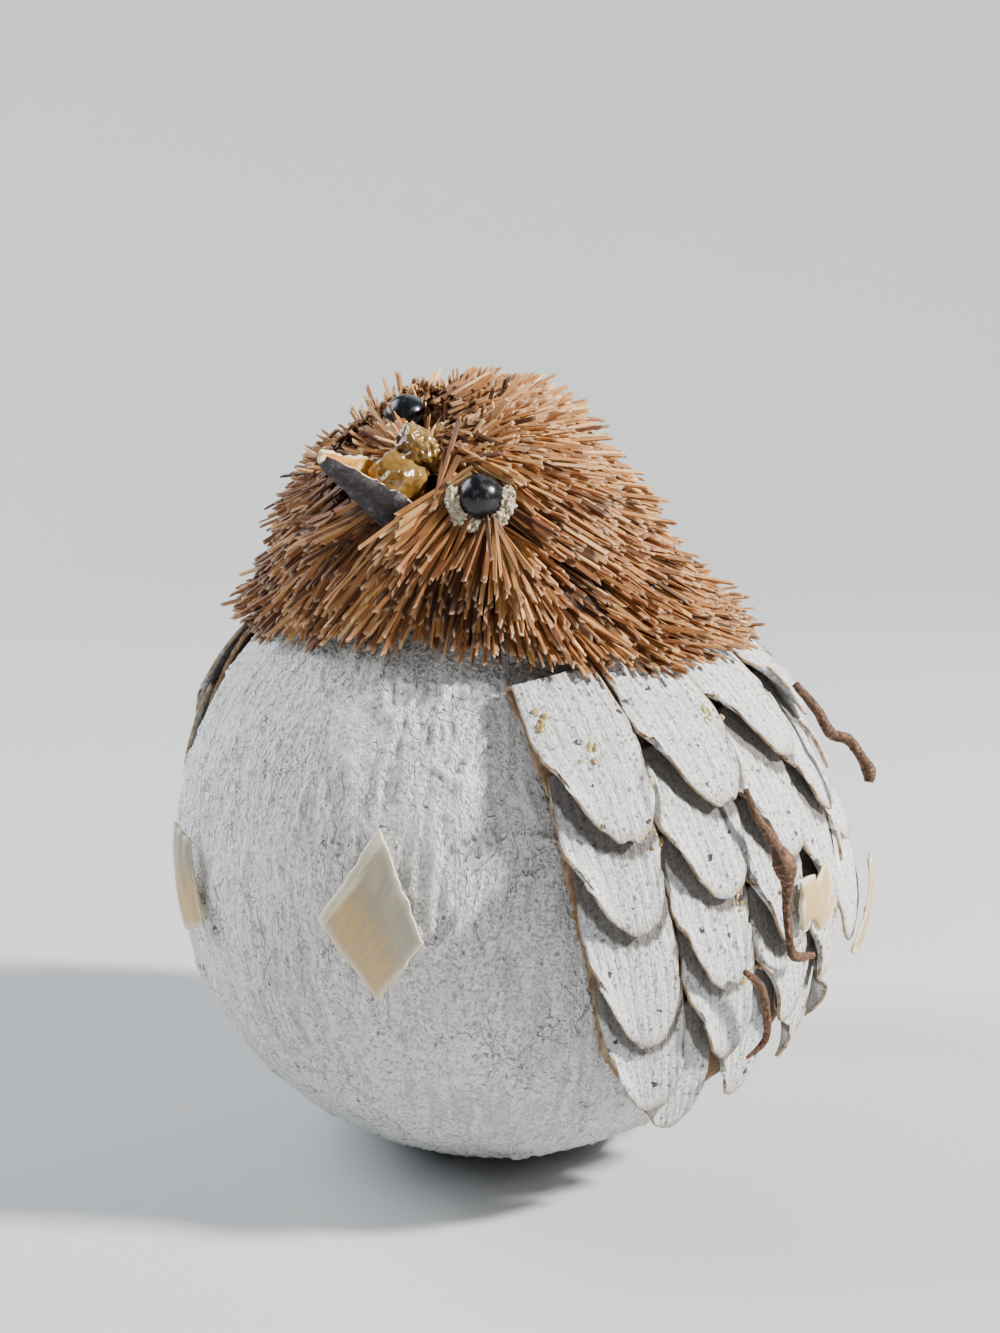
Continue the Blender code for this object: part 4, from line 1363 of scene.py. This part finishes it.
# %% Beads
def make_bead_finish():
    """Black glass with a dusty film."""
    material, tree, shader = new_finish("black_bead", 0.2)
    place = object_place(tree)
    dust = grain_noise(tree, place, 900.0, 4.0, 0.6)
    shade = coats(tree, (0.005, 0.006, 0.008), (dust, 0.52, 0.75, 0.5, (0.10, 0.10, 0.105)))
    grains = use_group(tree, SPECKS, Place=place, Scale=900.0, Size=0.35, Amount=0.12)
    shade = coat(tree, shade, grains, 0.6, (0.5, 0.47, 0.42))
    connect(tree, shade, shader.inputs["Base Color"])
    connect(tree, maths(tree, "ADD", maths(tree, "MULTIPLY", dust, 0.5), 0.02),
            shader.inputs["Roughness"])
    shader.inputs["Specular IOR Level"].default_value = 0.35
    shader.inputs["Coat Weight"].default_value = 0.2
    shader.inputs["Coat Roughness"].default_value = 0.12
    return material


bead_finish = make_bead_finish()
for side_name, centre in (("left", EYE_LEFT), ("right", EYE_RIGHT)):
    bm = bmesh.new()
    bmesh.ops.create_icosphere(bm, subdivisions=5, radius=EYE_R)
    bmesh.ops.translate(bm, verts=bm.verts[:], vec=centre)
    bead = finish_mesh(bm, "bead_eye_" + side_name, bead_finish)
    settle(bead, "black_bead", "eye_" + side_name)
print("two beads of", EYE_R * 2.0 / MM, "mm")

# %% [markdown]
# ## Beak
# The beak is half a cone of dark bark, open upward, with a torn cream rim and an
# orange inside.  It is one more mapped grid; the two long edges wander, the wall
# gets its thickness afterwards, and the wall, rim and inside each get a finish.

# %% Beak finishes
outer_bark = rough_finish(
    "dark_bark", 0.72, (700.0, 6.0, 0.75, 0.3),
    ((0.38, (0.010, 0.008, 0.010)), (0.54, (0.030, 0.024, 0.028)),
     (0.64, (0.11, 0.095, 0.10)), (0.74, (0.36, 0.33, 0.30))),
    0.0003, 0.9)
inner_bark = rough_finish(
    "inner_bark", 0.6, (500.0, 4.0),
    ((0.35, (0.42, 0.19, 0.03)), (0.52, (0.72, 0.39, 0.08)), (0.68, (0.80, 0.57, 0.22))),
    0.0002, 0.7)
torn_rim = rough_finish(
    "torn_bark_rim", 0.85, (900.0, 4.0),
    ((0.35, (0.34, 0.22, 0.11)), (0.5, (0.66, 0.54, 0.36)), (0.7, (0.80, 0.74, 0.60))),
    0.0002, 0.9)
print("beak:", outer_bark.name, inner_bark.name, torn_rim.name)

# %% The half cone
BEAK_HALF_TURN = 0.51
FAR_TEAR = 0.19
NEAR_TEAR = -0.04
NEAR_TEAR_GROWTH = -0.15
BEAK_KEEL = 0.10
BEAK_SIZE_MM = (16.0, 13.0)
BEAK_GRID = (64, 48)


def beak_point(across, along):
    """Spot on the cone's inner face; along runs from the tip to the root."""
    distance = BEAK_LENGTH - along * (BEAK_LENGTH + BEAK_ROOT)
    wall = BEAK_T * min(1.0, 0.3 + along * 2.0)
    radius = beak_radius(distance) - wall
    ragged = 0.05 * ripple(along * 7.0, across * 0.5 + 3.0, 1.0)
    ragged += 0.03 * ripple(along * 22.0, across + 8.0, 1.0)
    tear = NEAR_TEAR + NEAR_TEAR_GROWTH * along if across > 0.0 else FAR_TEAR
    turned = -pi / 2.0 + across * pi * (BEAK_HALF_TURN + tear + ragged * abs(across) ** 6)
    keel = cos(2.0 * (turned + pi / 2.0))
    radius *= 1.0 + BEAK_KEEL * keel
    radius += 0.00016 * ripple(across * 4.0, along * 6.0, 12.0)
    spot = BEAK_FRAME @ Vector((radius * cos(turned), radius * sin(turned), distance))
    return spot, 0.0, abs(across)


bm = bmesh.new()
map_grid(bm, *BEAK_GRID, beak_point, BEAK_SIZE_MM)
beak = finish_mesh(bm, "beak_half_cone", outer_bark, inner_bark, torn_rim)
thicken(beak, BEAK_T * 0.85, rim_material=2, inner_material=1)
settle(beak, "dark_bark", "beak_shell")
print("beak:", len(beak.data.polygons), "faces on one side")

# %% [markdown]
# ## Glue
# Hot glue holds the beak, lies in a pool on the face above it, and crusts round the
# near eye.  The drop and the pool start as a sphere that noise pushes about; the
# crust is a bent roll, spun round the lower half of the bead and roughened.

# %% Glue finishes
def make_amber_finish(name, dark, middle, pale):
    """Clear yellow brown glue in three depths of one colour."""
    stops = ((0.35, dark), (0.55, middle), (0.72, pale))
    material = rough_finish(name, 0.25, (260.0, 3.0), stops, 0.0004, 0.5)
    shader = material.node_tree.nodes["Principled BSDF"]
    shader.inputs["Transmission Weight"].default_value = 0.35
    shader.inputs["Coat Weight"].default_value = 0.4
    return material


amber_finish = make_amber_finish(
    "amber_glue", (0.14, 0.065, 0.012), (0.34, 0.19, 0.04), (0.52, 0.35, 0.11))
crumb_finish = make_amber_finish(
    "pale_glue", (0.40, 0.28, 0.09), (0.60, 0.47, 0.20), (0.74, 0.64, 0.38))
crust_finish = rough_finish(
    "glue_crust", 0.8, (1100.0, 5.0, 0.7),
    ((0.34, (0.22, 0.16, 0.09)), (0.46, (0.52, 0.44, 0.30)), (0.62, (0.76, 0.70, 0.54))),
    0.0005, 1.0)
print(amber_finish.name, crumb_finish.name, crust_finish.name)

# %% Glue in the beak and under the eye
BEAK_GLUE_R = 0.0037
POOL_SQUASH = (1.05, 0.8, 0.85)
CRUST_R = 0.00085
CRUST_OUT = 0.0012
CRUST_GAP = 0.0005
CRUST_TURN = 200.0


def lumpy(bm, scale, amount, seed):
    """Push every point along its own normal by noise."""
    bm.normal_update()
    for vert in bm.verts:
        push = noise.noise(vert.co * scale + Vector((seed, 0.0, 0.0)))
        vert.co += vert.normal * push * amount


bm = bmesh.new()
bmesh.ops.create_icosphere(bm, subdivisions=5, radius=BEAK_GLUE_R)
bmesh.ops.transform(bm, matrix=BEAK_FRAME, verts=bm.verts[:])
lumpy(bm, 420.0, 0.0010, 3.0)
lumpy(bm, 1300.0, 0.0003, 5.0)
beak_glue = finish_mesh(bm, "beak_glue_drop", amber_finish)
settle(beak_glue, "amber_glue", "beak_glue")

bm = bmesh.new()
bmesh.ops.create_icosphere(bm, subdivisions=5, radius=GLUE_POOL_R)
bmesh.ops.scale(bm, verts=bm.verts[:], vec=POOL_SQUASH)
lumpy(bm, 500.0, 0.0012, 6.0)
lumpy(bm, 1600.0, 0.0004, 7.0)
bmesh.ops.translate(bm, verts=bm.verts[:], vec=GLUE_POOL)
glue_pool = finish_mesh(bm, "face_glue_pool", amber_finish)
settle(glue_pool, "amber_glue")
print("glue drops:", len(beak_glue.data.polygons) + len(glue_pool.data.polygons), "faces")


def make_eye_crust():
    """Rough roll of glue round the lower half of the near bead."""
    outward = (EYE_LEFT - HEAD_CORE).normalized()
    down = (Vector((0.0, 0.0, -1.0)) + outward * outward.z).normalized()
    side = outward.cross(down)
    bm = bmesh.new()
    turn = Matrix((down, outward, side)).transposed().to_4x4()
    bmesh.ops.create_circle(bm, cap_ends=False, segments=12, radius=CRUST_R)
    bmesh.ops.rotate(bm, verts=bm.verts[:], matrix=Matrix.Rotation(pi / 2.0, 3, "X"))
    bmesh.ops.translate(bm, verts=bm.verts[:], vec=(EYE_R + CRUST_GAP, 0.0, 0.0))
    half_back = Matrix.Rotation(radians(-CRUST_TURN / 2.0), 3, "Y")
    bmesh.ops.rotate(bm, verts=bm.verts[:], matrix=half_back)
    bmesh.ops.spin(
        bm, geom=bm.verts[:] + bm.edges[:], cent=(0.0, 0.0, 0.0), axis=(0.0, 1.0, 0.0),
        angle=radians(CRUST_TURN), steps=40, use_duplicate=False)
    bmesh.ops.holes_fill(bm, edges=[edge for edge in bm.edges if edge.is_boundary], sides=0)
    bmesh.ops.remove_doubles(bm, verts=bm.verts[:], dist=0.000001)
    bmesh.ops.recalc_face_normals(bm, faces=bm.faces[:])
    bmesh.ops.subdivide_edges(bm, edges=bm.edges[:], cuts=3, use_grid_fill=True)
    lumpy(bm, 700.0, 0.0007, 8.0)
    lumpy(bm, 2400.0, 0.0004, 9.0)
    place = Matrix.Translation(EYE_LEFT + outward * CRUST_OUT) @ turn
    bmesh.ops.transform(bm, matrix=place, verts=bm.verts[:])
    bmesh.ops.recalc_face_normals(bm, faces=bm.faces[:])
    return finish_mesh(bm, "eye_glue_crust", crust_finish)


eye_crust = make_eye_crust()
settle(eye_crust, "amber_glue")
print("eye crust:", len(eye_crust.data.polygons), "faces")

# %% [markdown]
# Crumbs of the same glue sit on the scales of the near wing, a few at each place.
# Each one finds the upper face of its scale, is pressed flat, and is made lumpy.

# %% Glue drops on the wing
WING_DROPS = (
    (56.2, 40.3), (61.7, 32.9), (87.9, 31.4), (67.9, 18.8),
    (83.1, -7.3), (79.7, -8.8), (80.1, 4.3), (78.9, -1.4),
)
CRUMBS_EACH = 7
CRUMB_MM = (0.25, 0.65)
CRUMB_SHAPE = (0.7, 1.0, 0.22)
SPREAD_AROUND = (-1.6, 1.6)
SPREAD_UP = (-1.8, 1.8)


def scale_top(latitude):
    """Height of the upper face of the topmost scale at a latitude of the near wing."""
    for _, root, tip, _, _ in SCALE_ROWS:
        if tip + 4.0 < latitude < root:
            arc = (root - latitude) * DEGREE * BALL_R
            return SCALE_SEAT + SCALE_SLOPE * arc + SCALE_T
    return SCALE_SEAT + SCALE_T


def make_wing_drops(random_source):
    """All the crumbs in one mesh."""
    gathered = bmesh.new()
    places = [place for place in WING_DROPS for _ in range(CRUMBS_EACH)]
    for number, (azimuth, latitude) in enumerate(places):
        azimuth += random_source.uniform(*SPREAD_AROUND)
        latitude += random_source.uniform(*SPREAD_UP)
        way = wing_direction(azimuth, latitude)
        size = random_source.uniform(*CRUMB_MM)
        bm = bmesh.new()
        bmesh.ops.create_icosphere(bm, subdivisions=3, radius=size * MM)
        bmesh.ops.scale(bm, verts=bm.verts[:], vec=CRUMB_SHAPE)
        lumpy(bm, 1500.0, 0.0004, number * 3.0)
        turn = skin_normal(way).to_track_quat("Z", "Y").to_matrix().to_4x4()
        spin = Matrix.Rotation(random_source.uniform(0.0, pi), 4, "Z")
        place = Matrix.Translation(on_body(way, scale_top(latitude) + 0.0001)) @ turn @ spin
        bmesh.ops.transform(bm, matrix=place, verts=bm.verts[:])
        gather(gathered, bm)
    return finish_mesh(gathered, "wing_glue_drops", crumb_finish)


wing_drops = make_wing_drops(random.Random(31))
settle(wing_drops, "amber_glue")
print(len(WING_DROPS) * CRUMBS_EACH, "crumbs of glue on the wing")

# %% [markdown]
# ## Petals
# Four dry petals are glued on: a papery diamond on the breast, a flake that stands
# off at the far side, a golden one on the wing and a thin one at the tail.  Each is
# a grid between four corners, bowed in the middle and torn at the edges.

# %% Petal finish
def make_petal_finish(name, gold_from, gold_colour):
    """Thin dry petal, grey as painted shade above gold_from and golden past it, with brown
    veins and a bright fold.
    """
    material, tree, shader = new_finish(name, 0.5)
    flat = flat_place(tree)
    place = object_place(tree)
    edge = painted(tree, "edge")
    veins = use_group(tree, GRAIN, Place=flat, Across=1.6, Along=0.16)
    clouds = grain_noise(tree, place, 170.0, 3.0)
    parts = add_node(tree, "ShaderNodeSeparateXYZ")
    connect(tree, flat, parts.inputs[0])
    # Grey towards the top of the thin petal: painted shade; golden past gold_from: its own
    # colour.
    grey_to_gold = maths(tree, "ADD", parts.outputs[1], maths(tree, "MULTIPLY", clouds, 8.0))
    shade = blend_colour(tree, soft_step(tree, grey_to_gold, gold_from, gold_from + 8.0),
                         (0.40, 0.375, 0.30), gold_colour)
    fold = soft_step(tree, maths(tree, "ADD", parts.outputs[0], clouds), -3.2, -3.9)
    shade = coat(tree, shade, fold, 0.8, (0.88, 0.80, 0.60))
    shade = coats(
        tree, shade,
        (veins, 0.54, 0.36, 0.85, (0.46, 0.36, 0.24)),
        (edge, 0.8, 1.0, 0.7, (0.84, 0.76, 0.56)))
    connect(tree, shade, shader.inputs["Base Color"])
    connect(tree, raised(tree, veins, 0.0002, 0.8), shader.inputs["Normal"])
    shader.inputs["Coat Weight"].default_value = 0.15
    return material


petal_finish = make_petal_finish("dry_petal", 6.0, (0.63, 0.43, 0.18))
golden_finish = make_petal_finish("golden_petal", -4.0, (0.52, 0.36, 0.13))
print(petal_finish.name, golden_finish.name)

# %% Four petals
PETAL_T = 0.00035
PETAL_SIZE_MM = (11.0, 15.0)
PETAL_GRID = (40, 50)
LONGEST_SCALE_ARC = 31.8
TIP_LIFT = 0.0006
SOLID_SCALE_T = 0.00045
LAYER_GAP = 0.0004
TWIG_FOOT = SCALE_SEAT + SCALE_SLOPE * LONGEST_SCALE_ARC * DEGREE * BALL_R
TWIG_FOOT += TIP_LIFT + SOLID_SCALE_T + LAYER_GAP


def make_petal(name, node, corners, heights, bow, seed, torn=0.5, finish=petal_finish,
               inside_out=False):
    """Flake between four corners, each an azimuth and an elevation, with its heights."""
    def point(across, along):
        side = (across + 1.0) / 2.0
        weights = ((1.0 - side) * (1.0 - along), side * (1.0 - along),
                   side * along, (1.0 - side) * along)
        azimuth = sum(w * corner[0] for w, corner in zip(weights, corners))
        elevation = sum(w * corner[1] for w, corner in zip(weights, corners))
        height = sum(w * height for w, height in zip(weights, heights))
        middle = (1.0 - across * across) * 4.0 * along * (1.0 - along)
        wobble = ripple(across * 2.0, along * 3.0, seed)
        ragged = torn * ripple(across * 1.4, along * 2.6, seed + 4.0)
        ragged += 0.3 * ripple(across * 5.0, along * 9.0, seed + 8.0)
        edge = max(abs(across), abs(2.0 * along - 1.0))
        azimuth += ragged * smoothstep(0.7, 1.0, edge)
        lobes = torn * ripple(across * 1.8, along * 1.2, seed + 12.0)
        elevation += lobes * smoothstep(0.3, 1.0, abs(2.0 * along - 1.0))
        height += bow * middle + 0.00015 * wobble
        return on_body(direction(azimuth, elevation), max(height, 0.0002)), wobble, edge

    piece = make_sheet(
        name, finish, *PETAL_GRID, point, PETAL_SIZE_MM, PETAL_T, flip=inside_out)
    settle(piece, "dry_petal", node)


make_petal(
    "breast_petal", "petal_breast", ((22.0, 15.4), (29.4, -1.6), (21.6, -12.1), (12.6, 0.5)),
    (0.0004, 0.0004, 0.0005, 0.0009), bow=0.0002, seed=1.0)
make_petal(
    "side_petal", "petal_side", ((-24.4, 8.6), (-19.5, 6.5), (-15.6, -6.5), (-21.8, -8.6)),
    (0.0020, 0.0008, 0.0006, 0.0012), bow=0.0004, seed=2.0)
make_petal(
    "flank_petal", "petal_flank", ((88.8, 3.6), (98.0, 3.0), (98.5, -4.8), (89.6, -4.2)),
    (TWIG_FOOT,) * 4, bow=0.0006, seed=3.0, torn=4.5, finish=golden_finish)
make_petal(
    "tail_petal", "petal_tail",
    ((168.0, -13.0), (164.0, -12.0), (160.5, -22.5), (164.0, -23.5)),
    (TWIG_FOOT + 0.0010, TWIG_FOOT + 0.0004, TWIG_FOOT - 0.0004, TWIG_FOOT + 0.0002),
    bow=0.0, seed=4.0, torn=1.2, finish=golden_finish, inside_out=True)
print("four petals")

# %% [markdown]
# ## Twigs
# Three thin dry twigs lie over the near wing and the back.  A circle is extruded
# along a smooth path and its rings are scaled and roughened, so that bark wrinkles
# and the bud are real shape.

# %% Twig finish
def make_twig_finish():
    """Red brown wrinkled bark with pale scuffs."""
    material, tree, shader = new_finish("twig_bark", 0.75)
    flat = flat_place(tree)
    wrinkles = use_group(tree, GRAIN, Place=flat, Across=1.2, Along=1.8)
    shade = colour_ramp(tree, wrinkles, (
        (0.32, (0.014, 0.006, 0.004)), (0.50, (0.085, 0.036, 0.016)),
        (0.64, (0.22, 0.110, 0.050)), (0.80, (0.48, 0.34, 0.20))))
    connect(tree, shade, shader.inputs["Base Color"])
    connect(tree, raised(tree, wrinkles, 0.0003, 0.9), shader.inputs["Normal"])
    return material


twig_finish = make_twig_finish()
print(twig_finish.name)

# %% Twigs along their paths
TWIG_R = 0.00075
TWIG_SIDES = 14
TWIG_WRINKLE = 0.14
STEPS_PER_BEND = 10


def smooth_path(points, radii):
    """Points and radii on a smooth curve through the given ones."""
    places, sizes = [], []
    for index in range(len(points) - 1):
        before = points[max(index - 1, 0)]
        start, end = points[index], points[index + 1]
        after = points[min(index + 2, len(points) - 1)]
        for step in range(STEPS_PER_BEND):
            t = step / STEPS_PER_BEND
            places.append(0.5 * (
                2.0 * start + (end - before) * t
                + (2.0 * before - 5.0 * start + 4.0 * end - after) * t * t
                + (3.0 * start - before - 3.0 * end + after) * t ** 3))
            growth = radii[index + 1] - radii[index]
            sizes.append(radii[index] + growth * smoothstep(0, 1, t))
    return places + [points[-1]], sizes + [radii[-1]]


def make_rod(name, points, radii, material, wrinkle):
    """Round rod: a circle extruded from ring to ring along a path, with wrinkled bark."""
    places, sizes = smooth_path(points, radii)
    bm = bmesh.new()
    flat = bm.loops.layers.uv.new("flat")
    made = bmesh.ops.create_circle(bm, cap_ends=True, segments=TWIG_SIDES, radius=1.0)
    ring = made["verts"]
    rings = []
    for index, (place, size) in enumerate(zip(places, sizes)):
        ahead = places[min(index + 1, len(places) - 1)]
        behind = places[max(index - 1, 0)]
        turn = (ahead - behind).to_track_quat("Z", "Y")
        if index:
            border = {edge for vert in ring for edge in vert.link_edges
                      if edge.verts[0] in ring and edge.verts[1] in ring}
            grown = bmesh.ops.extrude_edge_only(bm, edges=list(border))
            ring = [part for part in grown["geom"] if isinstance(part, bmesh.types.BMVert)]
        angles = {}
        middle = sum((vert.co for vert in ring), Vector()) / len(ring)
        for vert in ring:
            if index:
                local = last_turn.inverted() @ (vert.co - middle)
            else:
                local = vert.co.copy()
            angle = atan2(local.y, local.x)
            bark = noise.noise(Vector((cos(angle), sin(angle), index * 0.45)) * 1.7)
            radius = size * (1.0 + wrinkle * bark)
            vert.co = place + turn @ Vector((cos(angle) * radius, sin(angle) * radius, 0.0))
            angles[vert] = (angle, index)
        rings.append(angles)
        last_turn = turn
    bmesh.ops.contextual_create(
        bm, geom=[edge for edge in bm.edges if edge.is_boundary])
    spots = {vert: value for angles in rings for vert, value in angles.items()}
    for face in bm.faces:
        for loop in face.loops:
            angle, index = spots[loop.vert]
            loop[flat].uv = (angle * 0.8, index * 0.3)
    bmesh.ops.recalc_face_normals(bm, faces=bm.faces[:])
    return finish_mesh(bm, name, material)


def twig_path(places):
    """World points from azimuth, elevation and lift over the resting height."""
    rest = TWIG_FOOT + TWIG_R
    return [on_body(direction(azimuth, elevation), rest + lift)
            for azimuth, elevation, lift in places]


back_path = twig_path((
    (104.5, 30.4, 0.0), (106.4, 25.4, 0.0006), (106.7, 21.5, 0.0010),
    (107.7, 19.7, 0.0026), (108.0, 17.1, 0.0034), (108.1, 14.5, 0.0039),
    (107.8, 13.1, 0.0036),
))
wing_path = twig_path((
    (79.4, 18.3, 0.0), (80.5, 14.6, 0.0), (82.6, 10.6, 0.0004), (84.0, 6.9, 0.0009),
    (84.8, 3.6, 0.0006), (85.4, 0.6, 0.0), (86.6, -4.6, 0.0), (88.4, -7.4, 0.0),
    (93.6, -8.6, 0.0),
))
low_path = twig_path((
    (77.7, -7.3, 0.0), (81.4, -10.5, 0.0), (84.0, -15.6, 0.0002),
    (85.2, -20.0, 0.0004), (82.4, -22.6, 0.0002),
))
WING_TWIG_RADII = [0.5, 0.65, 0.9, 1.9, 0.95, 0.7, 0.65, 0.9, 0.6]
twigs = (
    ("back_twig", "twig_back", back_path, [0.7, 0.9, 1.0, 0.95, 0.9, 1.2, 0.8]),
    ("wing_twig", "twig_wing", wing_path, WING_TWIG_RADII),
    ("low_twig", "twig_low", low_path, [0.5, 0.75, 0.7, 0.6, 0.3]),
)
for name, node, path, shares in twigs:
    radii = [TWIG_R * share for share in shares]
    rod = make_rod(name, path, radii, twig_finish, TWIG_WRINKLE)
    settle(rod, "twig_wood", node)
print("twigs:", [name for name, *_ in twigs])

# %% [markdown]
# ## Sizes
# The dressed bird must not be larger than its solids; the solids' box is printed here.

# %% Print the solids' box
print("cad box", [[round(v / MM, 1) for v in corner] for corner in cad_box])
